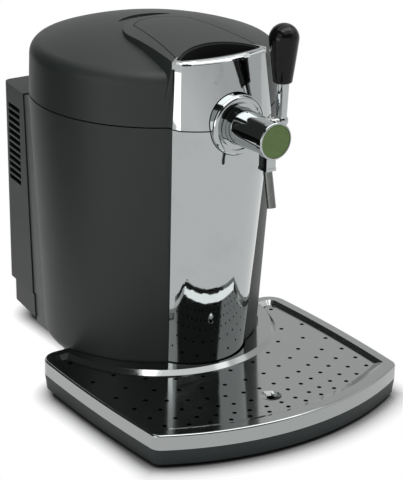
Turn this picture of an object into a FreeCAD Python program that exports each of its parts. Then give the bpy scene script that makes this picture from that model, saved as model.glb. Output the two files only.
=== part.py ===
"""Mini keg beer dispenser: insulated body, hinged lid, lever tap, cooling module and drip tray.

Millimetres, +Z up.  The tap and the tray face -Y.  Every function below draws
its piece around the axis of the keg well; the pieces are moved back by AXIS_Y
when they are written, so that the origin lies under the middle of the
dispenser at table height.
"""

import FreeCAD, Part
import math
import os

os.makedirs("parts", exist_ok=True)

# ---------------------------------------------------------------- body
BODY_R_TOP = 127.0          # body radius at the lid seam
BODY_R_LOW = 113.1          # body radius where the foot starts to round
BODY_LOW_Z = 38.0
BODY_BOTTOM_Z = 22.0
SEAM_Z = 288.5              # middle of the seam between body and lid
SEAM_GAP = 1.2
SHELL_WALL = 3.0
FIT_GAP = 0.3               # clearance between parts that only meet
SEAT_GAP = 0.2              # clearance where one part rests on another

# ---------------------------------------------------------------- keg well
KEG_R = 86.0                # a five litre keg
WELL_PLAY = 1.5
WELL_R = KEG_R + WELL_PLAY
WELL_WALL = 1.5
WELL_FLOOR_Z = 36.0
WELL_TOP_Z = 280.4
FOAM_BOTTOM_Z = 25.3
RIM_BOTTOM_Z = 281.0
RIM_TOP_Z = 286.0
SEAL_R_IN = 95.0
SEAL_R_OUT = 104.0
SEAL_TOP_Z = 289.9

# ---------------------------------------------------------------- front bow
BOW_LOW_Z = 34.0
PANEL_LOW_Z = 36.6
BOW_REF_LOW_Z = 35.6
BOW_APEX_LOW = 127.8        # reach of the bow in front of the axis
BOW_APEX_TOP = 148.8
BOW_CORNER_X_LOW = 44.5
BOW_CORNER_Y_LOW = 106.8
BOW_CORNER_X_TOP = 54.0
BOW_CORNER_Y_TOP = 127.5
BOW_ROOT_X_LOW = 47.6
BOW_ROOT_Y_LOW = 102.5
BOW_ROOT_X_TOP = 61.7
BOW_ROOT_Y_TOP = 111.2
BOW_CREST_Z = 350.0         # reference height near the top of the lid part
BOW_APEX_CREST = 129.3
BOW_CORNER_X_CREST = 49.0
BOW_CORNER_Y_CREST = 120.6
BOW_ROOT_X_CREST = 54.8
BOW_ROOT_Y_CREST = 114.2
PANEL_EDGE_R_LOW = 113.4     # reach of the side edges of the chrome from the axis
PANEL_EDGE_R_TOP = 132.7
PANEL_EDGE_R_CREST = 127.3
PANEL_WALL = 2.0
PANEL_CORNER_R = 1.8
LIP_DEPTH = 5.5             # rolled top edge of the upper panel
LIP_LOW_Z = 346.5
LIP_ROLL_R = 4.4
LIP_CREST_Z = 353.6

# ---------------------------------------------------------------- lid
LID_STEP = 0.4
LID_R = BODY_R_TOP - LID_STEP
LID_DRAFT = 0.9             # taper of the side of the lid over its height
LID_SIDE_TOP_Z = 328.45
LID_SHOULDER_R = 14.8
LID_SHOULDER_TURN = 72.0    # degrees of the shoulder arc
LID_CROWN_Z = 362.1
WEDGE_HALF_W = 55.2
WEDGE_SIDE_Y = -35.0        # where the straight sides of the wedge end
WEDGE_REAR_Y = 15.0
WEDGE_DRAFT = 10.0          # degrees
WEDGE_CROWN_R = 500.0
WEDGE_CROWN_Y = -25.0
WEDGE_CROWN_Z = 364.0
HATCH_REAR_X = 32.0
HATCH_REAR_Y = -12.0
HATCH_REAR_MID_Y = 4.0
HATCH_FRONT_X = 47.6
HATCH_THICK = 2.0
HATCH_SEAM = 1.0
RECESS_HALF_W = 50.0
RECESS_TIP_Y = -113.0
RECESS_REAR_Y = -93.0
RECESS_FLOOR_Z = 333.0
RECESS_WALL = 2.0
GROOVE_HALF_W = 31.0
GROOVE_TIP_Y = 19.0
GROOVE_REAR_Y = 29.0
GROOVE_FRONT_Y = 16.5
GROOVE_DEPTH = 2.5
LINER_R = 120.5
LINER_CAVITY_R = 86.0
LINER_BOTTOM_Z = 290.2
LINER_FLANGE = 2.8
LINER_CAVITY_TOP_Z = 335.0
LINER_WALL = 2.0

# ---------------------------------------------------------------- hinge
HINGE_REACH = 7.5
HINGE_Y = BODY_R_TOP + HINGE_REACH
HINGE_PIN_R = 2.0
KNUCKLE_R = 5.0
LEAF_HALF_W = 24.0
EAR_WIDTH = 8.0
BRACKET_HALF_W = LEAF_HALF_W + FIT_GAP + EAR_WIDTH

# ---------------------------------------------------------------- tap
TAP_Z = 291.4
TAP_SCREW_X = 13.0
TAP_SCREW_Z = 268.5
COLLAR_R = 30.0
COLLAR_REAR_Y = -141.0
COLLAR_SKIRT_Y = -128.0     # upper half of the collar runs further back
COLLAR_SKIRT_Z = 283.0
COLLAR_FRONT_Y = -150.0
COLLAR_SPIGOT_R = 23.0
COLLAR_SPIGOT_Y = -130.0
NOSE_R_REAR = 18.5
NOSE_R_FRONT = 16.3
NOSE_REAR_Y = -124.0
NOSE_COLLAR_Y = -150.0
NOSE_FRONT_Y = -198.5
NOSE_WALL = 3.0
BADGE_R = 18.3
BADGE_FRONT_Y = -206.5
BADGE_DISC_R = 16.4
BADGE_DEPTH = 1.0
SPOUT_BLOCK_W = 10.8
SPOUT_BLOCK_D = 12.2
SPOUT_BLOCK_Y = -193.9
SPOUT_LIP = 0.4
SPOUT_BLOCK_LOW_Z = 260.0
SPOUT_BLOCK_TOP_Z = 278.5
SPOUT_R = 4.5
SPOUT_BORE_R = 3.1
SPOUT_TOP_Z = 266.0
SPOUT_LOW_Z = 224.5
SPOUT_LEAN = 13.0           # degrees, foot of the spout forward
LINE_R = 2.8
LINE_Z = 280.8
LINE_CROSS_Z = 295.5
CONNECTOR_FLAT = 13.0

# ---------------------------------------------------------------- lever
LEVER_X = 43.2
LEVER_Y = -157.0
SHAFT_R = 5.0
SHAFT_NECK_R = 3.0
STEM_R_LOW = 5.5
STEM_R_TOP = 6.9
STEM_EYE_R = 7.2
KNOB_TOP_Z = 388.0
KNOB_HEIGHT = 58.2
KNOB_LOW_Z = KNOB_TOP_Z - KNOB_HEIGHT
KNOB_R_LOW = 9.5
KNOB_R_MAX = 14.8

# ---------------------------------------------------------------- cooling module
MODULE_TOP_Z = 268.0
MODULE_STEP_Z = 46.0
MODULE_BOTTOM_Z = 19.0
FRAME_FOOT_Z = 12.5         # the fixed half reaches lower than the cover
MODULE_REAR_TOP = 171.0
MODULE_REAR_LOW = 165.0
MODULE_REAR_X = 79.5
MODULE_SIDE_X = 87.0
MODULE_FRONT_X = 89.5
FRAME_STEP = 1.8            # the fixed half stands in from the cover
MODULE_FRONT_Y = 58.0
MODULE_CORNER_R = 9.0
MODULE_STEP_IN = 5.0
MODULE_WALL = 2.6
JOINT_Y_LOW = 98.0          # parting line of the cover at JOINT_REF_LOW_Z
JOINT_Y_TOP = 115.5
JOINT_REF_LOW_Z = 18.0
JOINT_REF_TOP_Z = 268.0
PLATE_BACK = 1.2
PLATE_Y = BODY_R_TOP + PLATE_BACK   # bulkhead that carries the cooling parts
PLATE_WALL = 2.6
VENT_TOP_Z = 249.0
VENT_LOW_Z = 161.0
VENT_ROWS = 12
VENT_Y_REAR = 157.0
VENT_Y_FRONT = 126.0
VENT_RIB = 2.4
COVER_SCREW_X = 62.0
COVER_SCREW_LOW_Z = 62.0
COVER_SCREW_TOP_Z = 250.0
SINK_Z = 180.0
SINK_HALF_W = 40.0
SINK_HALF_H = 50.0
PELTIER_HALF = 20.0
PELTIER_THICK = 3.8
FAN_HALF = 38.0
FAN_DEPTH = 14.0
FAN_BORE_R = 35.5
ROTOR_R = 34.0
ROTOR_HUB_R = 13.0
FAN_BLADES = 7

SWITCH_X0 = 29.3
SWITCH_X1 = 48.7
SWITCH_AXIS_Y = 164.0
SWITCH_AXIS_Z = 106.5
SWITCH_HALF_H = 5.5
SWITCH_TILT = 9.0
SWITCH_PIVOT_R = 1.2

# ---------------------------------------------------------------- tray
TRAY_FRONT_Y = -268.5
TRAY_CORNER_X = 147.7
TRAY_CORNER_Y = -230.0
TRAY_SIDE_X = 152.3         # half width at the middle of the side arc
TRAY_SIDE_Y = -140.0
TRAY_REAR_X = 151.2
TRAY_REAR_Y = -48.0
TRAY_EAR_Y = -18.5
TRAY_CORNER_R = 12.0
TRAY_EAR_R = 20.0
TRAY_INNER_R = 114.7
PLATE_TOP_Z = 35.6
PLATE_SKIRT_Z = 20.2
PLATE_SHEET = 1.2
PLATE_FLOOR_Z = 31.2
RIM_WIDTH = 11.0
RIM_SLOPE = 4.6             # run of the sloped wall between rim and floor
RIM_FRONT = 1.5             # the rim is wider by this at the front
RIM_FRONT_SLOPE = 6.0       # and so is the front slope, from there to the floor
BEAD_R = 122.0              # raised ring of the plate around the body
BEAD_Y = -11.0
PLATE_EDGE_R = 2.2
TRAY_WALL = 2.4
TRAY_FLOOR_Z = 4.2
TRAY_UNDERCUT = 2.0         # foot of the tub stands in from its top
LUG_X = 48.0                # lugs that locate the tray in the plinth
LUG_HALF_W = 6.0
LUG_FRONT_Y = -116.0
LUG_REAR_Y = -70.0
LUG_LOW_Z = 9.0
LUG_TOP_Z = 15.0
DRAIN_R = 10.8
DRAIN_DEEP = 2.6
DRAIN_HOLE_R = 4.2
DRAIN_Y = -213.0
HOLE_R = 2.3
# rows of holes on arcs: centre of the arc, its radius, distances from the middle
HOLE_ROWS = (
    (22.2, 263.6, (0.0, 22.2, 43.4, 62.9, 83.2, 102.7, 123.8)),
    (-13.8, 216.6, (0.0, 17.6, 36.4, 51.9, 69.8, 87.5, 106.0, 126.7)),
    (-14.4, 198.1, (22.6, 41.3, 57.1, 73.9, 90.6, 108.4, 128.4)),
    (-19.1, 175.1, (0.0, 18.6, 38.2, 56.4, 74.4, 92.6, 109.5, 130.7)),
    (-20.6, 150.5, (0.0, 24.0, 47.6, 69.0, 89.7, 111.0, 131.4)),
    (-14.5, 131.0, (0.0, 31.0, 57.6, 83.0, 105.7, 127.5)),
)

AXIS_Y = (-TRAY_FRONT_Y - MODULE_REAR_TOP) / 2.0


# ================================================================ drawing helpers
def vec(x, y, z):
    """A FreeCAD vector."""
    return FreeCAD.Vector(x, y, z)


def box(x0, x1, y0, y1, z0, z1):
    """An upright block between two corners."""
    return Part.makeBox(x1 - x0, y1 - y0, z1 - z0, vec(x0, y0, z0))


def post(radius, z0, z1, x=0.0, y=0.0):
    """A cylinder along Z."""
    return Part.makeCylinder(radius, z1 - z0, vec(x, y, z0), vec(0, 0, 1))


def rod_y(radius, y0, y1, x, z):
    """A cylinder along Y."""
    return Part.makeCylinder(radius, y1 - y0, vec(x, y0, z), vec(0, 1, 0))


def rod_x(radius, x0, x1, y, z):
    """A cylinder along X."""
    return Part.makeCylinder(radius, x1 - x0, vec(x0, y, z), vec(1, 0, 0))


def face_xy(steps, z):
    """A flat face at height z.

    Each step is a corner (x, y), or a pair of points that an arc passes
    through and ends at.
    """
    edges = []
    here = vec(steps[0][0], steps[0][1], z)
    start = here
    for step in steps[1:] + [steps[0]]:
        if isinstance(step[0], tuple):
            mid = vec(step[0][0], step[0][1], z)
            end = vec(step[1][0], step[1][1], z)
            edges.append(Part.Arc(here, mid, end).toShape())
        else:
            end = vec(step[0], step[1], z)
            if end.distanceToPoint(here) > 1e-6:
                edges.append(Part.makeLine(here, end))
        here = end
    if here.distanceToPoint(start) > 1e-6:
        edges.append(Part.makeLine(here, start))
    return Part.Face(Part.Wire(edges))


def prism(steps, z0, z1):
    """A vertical extrusion of an outline."""
    return face_xy(steps, z0).extrude(vec(0, 0, z1 - z0))


def turned(steps):
    """A solid of revolution about Z from an outline of (radius, height) steps."""
    face = face_xy(steps, 0.0)
    face.rotate(vec(0, 0, 0), vec(1, 0, 0), 90)
    return face.revolve(vec(0, 0, 0), vec(0, 0, 1), 360)


def turned_y(steps, x, z):
    """A solid of revolution about a Y line, from (radius, y) steps."""
    face = face_xy(steps, 0.0)
    solid = face.revolve(vec(0, 0, 0), vec(0, 1, 0), 360)
    solid.translate(vec(x, 0, z))
    return solid


def loft(wires):
    """A ruled solid through closed wires."""
    return Part.makeLoft(wires, True, True)


def union(shapes):
    """One shape from several that touch or overlap."""
    whole = shapes[0]
    for shape in shapes[1:]:
        whole = whole.fuse(shape)
    return whole.removeSplitter()


def mirrored(shape):
    """The shape and its mirror image across the X = 0 plane."""
    return [shape, shape.mirror(vec(0, 0, 0), vec(1, 0, 0))]


def biggest(shape):
    """The largest solid of a cut, without slivers."""
    solids = sorted(shape.Solids, key=lambda solid: solid.Volume)
    return solids[-1]


def blend(low, high, part):
    """A value between low and high."""
    return low + (high - low) * part


# ================================================================ shared outlines
def body_radius(z):
    """Outer radius of the conical body at a height."""
    part = (z - BODY_LOW_Z) / (SEAM_Z - BODY_LOW_Z)
    return blend(BODY_R_LOW, BODY_R_TOP, part)


def body_solid(inset):
    """The body cone with its rounded foot, moved inward by inset."""
    top = SEAM_Z - SEAM_GAP / 2.0
    low_z = BODY_LOW_Z
    round_r = low_z - BODY_BOTTOM_Z
    foot_r = BODY_R_LOW - round_r
    turn = math.sqrt(0.5)
    small = round_r - inset
    mid = (foot_r + small * turn, low_z - small * turn)
    foot = (foot_r, BODY_BOTTOM_Z + inset)
    side = (BODY_R_LOW - inset, low_z)
    steps = [(0, BODY_BOTTOM_Z + inset), foot, (mid, side), (body_radius(top) - inset, top), (0, top)]
    return turned(steps)


def cone_clear(gap):
    """The body cone grown by a gap, used to trim parts that stand against it."""
    top = SEAM_Z - SEAM_GAP / 2.0
    low = body_radius(0.0)
    steps = [(0, 0), (low + gap, 0), (body_radius(top + 6.0) + gap, top + 6.0), (0, top + 6.0)]
    return turned(steps)


def bow_wire(z, inset):
    """The outline of the raised front at a height, moved inward by inset."""
    if z <= SEAM_Z:
        part = (z - BOW_REF_LOW_Z) / (SEAM_Z - BOW_REF_LOW_Z)
        apex = blend(BOW_APEX_LOW, BOW_APEX_TOP, part)
        corner_x = blend(BOW_CORNER_X_LOW, BOW_CORNER_X_TOP, part)
        corner_y = blend(BOW_CORNER_Y_LOW, BOW_CORNER_Y_TOP, part)
        root_x = blend(BOW_ROOT_X_LOW, BOW_ROOT_X_TOP, part)
        root_y = blend(BOW_ROOT_Y_LOW, BOW_ROOT_Y_TOP, part)
    else:
        part = (z - SEAM_Z) / (BOW_CREST_Z - SEAM_Z)
        apex = blend(BOW_APEX_TOP, BOW_APEX_CREST, part)
        corner_x = blend(BOW_CORNER_X_TOP, BOW_CORNER_X_CREST, part)
        corner_y = blend(BOW_CORNER_Y_TOP, BOW_CORNER_Y_CREST, part)
        root_x = blend(BOW_ROOT_X_TOP, BOW_ROOT_X_CREST, part)
        root_y = blend(BOW_ROOT_Y_TOP, BOW_ROOT_Y_CREST, part)
    run_x = root_x - corner_x
    run_y = corner_y - root_y
    in_x = root_x + 0.35 * run_x
    in_y = root_y - 0.35 * run_y
    back_x = 0.55 * corner_x
    back_y = 60.0
    steps = [
        (-back_x, -back_y),
        (-in_x, -in_y),
        (-corner_x, -corner_y),
        ((0, -apex), (corner_x, -corner_y)),
        (in_x, -in_y),
        (back_x, -back_y),
    ]
    wire = face_xy(steps, z).OuterWire
    if inset > 0:
        wire = wire.makeOffset2D(-inset, 2)
    return wire


def panel_edge(z_ref, r_ref, z_end, r_end, z0, z1):
    """A cone between two heights that the side edges of the chrome stop at."""
    slope = (r_end - r_ref) / (z_end - z_ref)
    low = r_ref + slope * (z0 - z_ref)
    high = r_ref + slope * (z1 - z_ref)
    return turned([(0, z0), (low, z0), (high, z1), (0, z1)])


def bow_low(inset, z0, z1):
    """The raised front of the body between two heights."""
    return loft([bow_wire(z0, inset), bow_wire(z1, inset)])


def bow_high(inset, z0, z1):
    """The raised front of the lid between two heights."""
    return loft([bow_wire(z0, inset), bow_wire(z1, inset)])


def lid_dome(inset):
    """The round lid, moved inward by inset."""
    low = SEAM_Z + SEAM_GAP / 2.0
    radius = LID_SHOULDER_R - inset
    side_top = LID_R - LID_DRAFT
    centre = side_top - LID_SHOULDER_R
    half = math.radians(LID_SHOULDER_TURN / 2.0)
    full = math.radians(LID_SHOULDER_TURN)
    mid = (centre + radius * math.cos(half), LID_SIDE_TOP_Z + radius * math.sin(half))
    end = (centre + radius * math.cos(full), LID_SIDE_TOP_Z + radius * math.sin(full))
    crown = LID_CROWN_Z - inset
    rise = crown - end[1]
    ball = (end[0] ** 2 + rise ** 2) / (2.0 * rise)
    spread = math.asin(end[0] / ball) / 2.0
    quarter = (ball * math.sin(spread), crown - ball + ball * math.cos(spread))
    steps = [
        (0, low),
        (LID_R - inset, low),
        (side_top - inset, LID_SIDE_TOP_Z),
        (mid, end),
        (quarter, (0, crown)),
    ]
    return turned(steps)


def crown_ball(inset):
    """The large sphere that shapes the top of the wedge."""
    centre = vec(0, WEDGE_CROWN_Y, WEDGE_CROWN_Z - WEDGE_CROWN_R)
    return Part.makeSphere(WEDGE_CROWN_R - inset, centre)


def wedge_wire(z, inset):
    """Outline of the raised wedge of the lid at a height."""
    grow = (BOW_CREST_Z - z) * math.tan(math.radians(WEDGE_DRAFT)) - inset
    side = WEDGE_HALF_W + grow
    front = -BOW_ROOT_Y_CREST + inset
    steps = [
        (-side, front),
        (side, front),
        (side, WEDGE_SIDE_Y),
        ((0, WEDGE_REAR_Y + grow), (-side, WEDGE_SIDE_Y)),
    ]
    return face_xy(steps, z).OuterWire


def wedge_solid(inset):
    """The raised wedge of the lid."""
    body = loft([wedge_wire(318.0, inset), wedge_wire(372.0, inset)])
    body = body.common(crown_ball(inset))
    return body.common(post(LID_R - 0.01 - inset, 300.0, 380.0))


def recess_block(inset, z0):
    """The finger recess behind the rolled edge of the upper panel, moved inward."""
    half = RECESS_HALF_W + 4.0 - inset
    tip = RECESS_TIP_Y - 4.0 - inset
    block = prism([
        (-half, -150.0),
        (half, -150.0),
        (half, tip),
        ((0, RECESS_REAR_Y - inset), (-half, tip)),
    ], z0, 380.0)
    return block.common(bow_high(LIP_DEPTH + FIT_GAP + inset, 320.0, 370.0))


def lip_tips(grow, z0):
    """Plan of the two chrome tips that wrap the ends of the recess."""
    steps = [(45.0, -118.0), (56.5, -118.0), (56.5, -114.2), (45.0, -106.3)]
    wire = face_xy(steps, z0).OuterWire
    if grow > 0:
        wire = wire.makeOffset2D(grow, 2)
    tip = Part.Face(wire).extrude(vec(0, 0, 40.0))
    return tip, tip.mirror(vec(0, 0, 0), vec(1, 0, 0))


def hatch_outline(grow, ahead):
    """Plan of the inlaid panel on top of the wedge."""
    rear_x = HATCH_REAR_X + grow
    slope = (HATCH_FRONT_X - HATCH_REAR_X) / (HATCH_REAR_Y - RECESS_TIP_Y)
    front_x = HATCH_FRONT_X + grow + ahead * slope
    tip = RECESS_TIP_Y - ahead
    return [
        (-rear_x, HATCH_REAR_Y),
        (-front_x, tip),
        ((0, RECESS_REAR_Y - ahead), (front_x, tip)),
        (rear_x, HATCH_REAR_Y),
        ((0, HATCH_REAR_MID_Y + grow), (-rear_x, HATCH_REAR_Y)),
    ]


def collar_notch(gap, y_rear):
    """Round clearance for the tap collar, open towards the front."""
    return rod_y(COLLAR_R + gap, -170.0, y_rear, 0.0, TAP_Z)


def joint_half(rear):
    """The half space in front of, or behind, the parting plane of the cover."""
    slope = (JOINT_Y_TOP - JOINT_Y_LOW) / (JOINT_REF_TOP_Z - JOINT_REF_LOW_Z)
    low = JOINT_Y_LOW + slope * (0.0 - JOINT_REF_LOW_Z)
    high = JOINT_Y_LOW + slope * (300.0 - JOINT_REF_LOW_Z)
    far = 260.0 if rear else -40.0
    corners = [vec(-150, low, 0), vec(-150, far, 0), vec(-150, far, 300), vec(-150, high, 300), vec(-150, low, 0)]
    face = Part.Face(Part.makePolygon(corners))
    return face.extrude(vec(300, 0, 0))


def module_wire(z, inset, step_in):
    """Outline of the cooling module at a height."""
    part = (z - MODULE_BOTTOM_Z) / (MODULE_TOP_Z - MODULE_BOTTOM_Z)
    rear = blend(MODULE_REAR_LOW, MODULE_REAR_TOP, part) - inset - step_in
    side_y = blend(JOINT_Y_LOW, JOINT_Y_TOP, part)
    rear_x = MODULE_REAR_X - inset - step_in * 0.5
    side_x = MODULE_SIDE_X - inset - step_in * 0.3
    front_x = MODULE_FRONT_X - inset - step_in * 0.3
    radius = MODULE_CORNER_R - inset
    lean = (side_x - rear_x) / (rear - side_y)
    cut = radius * 0.2929
    steps = [
        (-front_x, MODULE_FRONT_Y),
        (-side_x, side_y),
        (-rear_x - lean * radius, rear - radius),
        ((-rear_x + cut - 0.4, rear - cut), (-rear_x + radius, rear)),
        (rear_x - radius, rear),
        ((rear_x - cut + 0.4, rear - cut), (rear_x + lean * radius, rear - radius)),
        (side_x, side_y),
        (front_x, MODULE_FRONT_Y),
    ]
    return face_xy(steps, z).OuterWire


def module_solid(inset):
    """The whole cooling module, upper box and recessed foot, moved inward."""
    top = MODULE_TOP_Z - inset
    step = MODULE_STEP_Z + inset
    low = MODULE_BOTTOM_Z + inset
    upper = loft([module_wire(step, inset, 0.0), module_wire(top, inset, 0.0)])
    foot = loft([module_wire(low, inset, MODULE_STEP_IN), module_wire(step + 4.0, inset, MODULE_STEP_IN)])
    return upper.fuse(foot)


def upright_edges(solid, y_from, y_to):
    """Vertical edges of a solid whose place lies between two y values."""
    found = []
    for edge in solid.Edges:
        ends = [point.Point for point in edge.Vertexes]
        if len(ends) == 2 and math.hypot(ends[0].x - ends[1].x, ends[0].y - ends[1].y) < 1e-6:
            if y_from < ends[0].y < y_to and edge.Curve.TypeId == "Part::GeomLine":
                found.append(edge)
    return found


def tray_block(inset, z0, z1, front_more=0.0):
    """Plan of the drip tray moved inward by inset, pulled up between two heights."""
    corner = vec(TRAY_CORNER_X, TRAY_CORNER_Y, 0)
    front = Part.Circle(vec(-TRAY_CORNER_X, TRAY_CORNER_Y, 0), vec(0, TRAY_FRONT_Y, 0), corner)
    side = Part.Circle(corner, vec(TRAY_SIDE_X, TRAY_SIDE_Y, 0), vec(TRAY_REAR_X, TRAY_REAR_Y, 0))
    block = box(-TRAY_SIDE_X - 5.0, TRAY_SIDE_X + 5.0, TRAY_FRONT_Y - 5.0, TRAY_EAR_Y - inset, z0, z1)
    block = block.common(post(front.Radius - inset - front_more, z0, z1, 0.0, front.Center.y))
    for bulge in mirrored(post(side.Radius - inset, z0, z1, -side.Center.x, side.Center.y)):
        block = block.common(bulge)
    block = block.makeFillet(max(TRAY_CORNER_R - inset, 1.5), upright_edges(block, -900.0, TRAY_REAR_Y))
    return block.makeFillet(max(TRAY_EAR_R - inset, 1.5), upright_edges(block, TRAY_REAR_Y, 900.0))


def tray_wire(inset, z, front_more=0.0):
    """The tray plan as a wire at a height."""
    block = tray_block(inset, z, z + 1.0, front_more)
    low = min(block.Faces, key=lambda face: face.CenterOfMass.z)
    return low.OuterWire


def bay(grow, z0, z1):
    """The space of the body and its bow, grown outward, cut from the tray."""
    ring = post(TRAY_INNER_R + grow, z0, z1)
    wire = bow_wire(BOW_REF_LOW_Z, 0.0).makeOffset2D(1.9 + grow, 2)
    face = Part.Face(wire)
    face.translate(vec(0, 0, z0 - BOW_REF_LOW_Z))
    bow = face.extrude(vec(0, 0, z1 - z0))
    open_rear = box(-TRAY_INNER_R - grow, TRAY_INNER_R + grow, 0.0, 40.0, z0, z1)
    return union([ring, bow, open_rear])


# ================================================================ body
def body_shell():
    """Outer plastic body with the raised front that carries the chrome panel."""
    top = SEAM_Z - SEAM_GAP / 2.0
    boss = bow_low(PANEL_WALL + FIT_GAP, BOW_LOW_Z, top)
    outer = body_solid(0.0).fuse(boss)
    hollow = body_solid(SHELL_WALL)
    lift = post(body_radius(top) - SHELL_WALL, top - 2.0, top + 2.0)
    inner_boss = bow_low(PANEL_WALL + FIT_GAP + SHELL_WALL, BOW_LOW_Z + SHELL_WALL, top)
    mouth = inner_boss.fuse(hollow).fuse(lift)
    shell = outer.cut(mouth)
    shell = shell.cut(collar_notch(0.5, -118.0))
    shell = shell.cut(post(90.0 + FIT_GAP, 10.0, BODY_BOTTOM_Z + SHELL_WALL + 1.0))
    window = PELTIER_HALF + 4.0
    shell = shell.cut(box(-window, window, 100.0, 140.0, SINK_Z - window, SINK_Z + window))
    for x in (-60.0, 60.0):
        for z in (70.0, 240.0):
            shell = shell.cut(rod_y(1.9, 95.0, 140.0, x * 0.6, z))
    return biggest(shell)


def lower_front_panel():
    """Chrome front of the body, a thin curved sheet with folded sides."""
    top = SEAM_Z - SEAM_GAP / 2.0
    outer = soften_bow(bow_low(0.0, PANEL_LOW_Z, top))
    inner = bow_low(PANEL_WALL, PANEL_LOW_Z, top)
    panel = outer.cut(inner)
    edge = panel_edge(BOW_REF_LOW_Z, PANEL_EDGE_R_LOW, SEAM_Z, PANEL_EDGE_R_TOP, PANEL_LOW_Z - 4.0, top + 1.0)
    panel = panel.cut(edge)
    panel = panel.cut(collar_notch(0.5, -118.0))
    return biggest(panel)


def base_pan():
    """Plinth that closes the foot of the body and holds the tray lugs."""
    low = 6.0
    pan = post(94.0, low, BODY_BOTTOM_Z - SEAT_GAP)
    pan = pan.cut(post(84.0, low + 3.0, BODY_BOTTOM_Z + 1.0))
    plug = post(90.0, BODY_BOTTOM_Z - 3.0, BODY_BOTTOM_Z + 2.6)
    plug = plug.cut(post(84.0, BODY_BOTTOM_Z - 4.0, BODY_BOTTOM_Z + 4.0))
    pan = union([pan, plug])
    for side in (-1, 1):
        x = side * LUG_X
        wide = LUG_HALF_W + 0.4
        pan = pan.cut(box(x - wide, x + wide, LUG_FRONT_Y, LUG_REAR_Y + 8.0, LUG_LOW_Z - 0.4, LUG_TOP_Z + 0.4))
    return pan


def feet():
    """Four rubber feet under the plinth."""
    pads = []
    for degrees in (45.0, 135.0, 225.0, 315.0):
        turn = math.radians(degrees)
        pads.append(post(9.0, 0.0, 6.0, 74.0 * math.cos(turn), 74.0 * math.sin(turn)))
    return Part.makeCompound(pads)


def body_rim():
    """Deck between the keg well and the body wall."""
    disc = post(body_radius(RIM_TOP_Z) - SHELL_WALL - 0.7, RIM_BOTTOM_Z, RIM_TOP_Z)
    lip = bow_low(PANEL_WALL + SHELL_WALL + 2.0 * FIT_GAP + 0.1, RIM_BOTTOM_Z, RIM_TOP_Z)
    rim = disc.fuse(lip)
    rim = rim.cut(post(WELL_R, RIM_BOTTOM_Z - 1.0, RIM_TOP_Z + 1.0))
    rim = rim.cut(collar_notch(0.9, -117.0))
    rim = rim.cut(box(-6.0, 6.0, -130.0, -70.0, RIM_BOTTOM_Z - 1.0, RIM_TOP_Z + 1.0))
    return biggest(rim.removeSplitter())


def rim_seal():
    """Rubber gasket under the lid, parted where the beer line crosses."""
    ring = turned([
        (SEAL_R_IN, RIM_TOP_Z),
        (SEAL_R_OUT, RIM_TOP_Z),
        (SEAL_R_OUT, SEAL_TOP_Z - 1.5),
        (SEAL_R_OUT - 1.5, SEAL_TOP_Z),
        (SEAL_R_IN + 1.5, SEAL_TOP_Z),
        (SEAL_R_IN, SEAL_TOP_Z - 1.5),
    ])
    return ring.cut(box(-6.0, 6.0, -130.0, -70.0, RIM_TOP_Z - 1.0, SEAL_TOP_Z + 1.0))


def keg_well():
    """Aluminium cup that the keg stands in."""
    outer = post(WELL_R + WELL_WALL, WELL_FLOOR_Z - WELL_WALL, WELL_TOP_Z)
    cup = outer.cut(post(WELL_R, WELL_FLOOR_Z, WELL_TOP_Z + 1.0))
    return cup.cut(box(-6.0, 6.0, -100.0, -70.0, LINE_Z - 6.0, WELL_TOP_Z + 1.0))


def well_insulation():
    """Foam jacket between the keg well and the body."""
    low = FOAM_BOTTOM_Z
    high = WELL_TOP_Z
    wall = SHELL_WALL + 0.5
    foam = body_solid(wall).common(post(200.0, low, high))
    foam = foam.cut(post(WELL_R + WELL_WALL + FIT_GAP, WELL_FLOOR_Z - WELL_WALL - FIT_GAP, high + 1.0))
    window = PELTIER_HALF + FIT_GAP
    foam = foam.cut(box(-window, window, 60.0, 140.0, SINK_Z - window, SINK_Z + window))
    foam = foam.cut(collar_notch(1.0, -104.0))
    foam = foam.cut(box(-6.0, 6.0, -130.0, -70.0, LINE_Z - 6.0, high + 1.0))
    foam = foam.cut(box(-40.0, 40.0, -150.0, -112.0, 240.0, high + 1.0))
    return biggest(foam)


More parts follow.
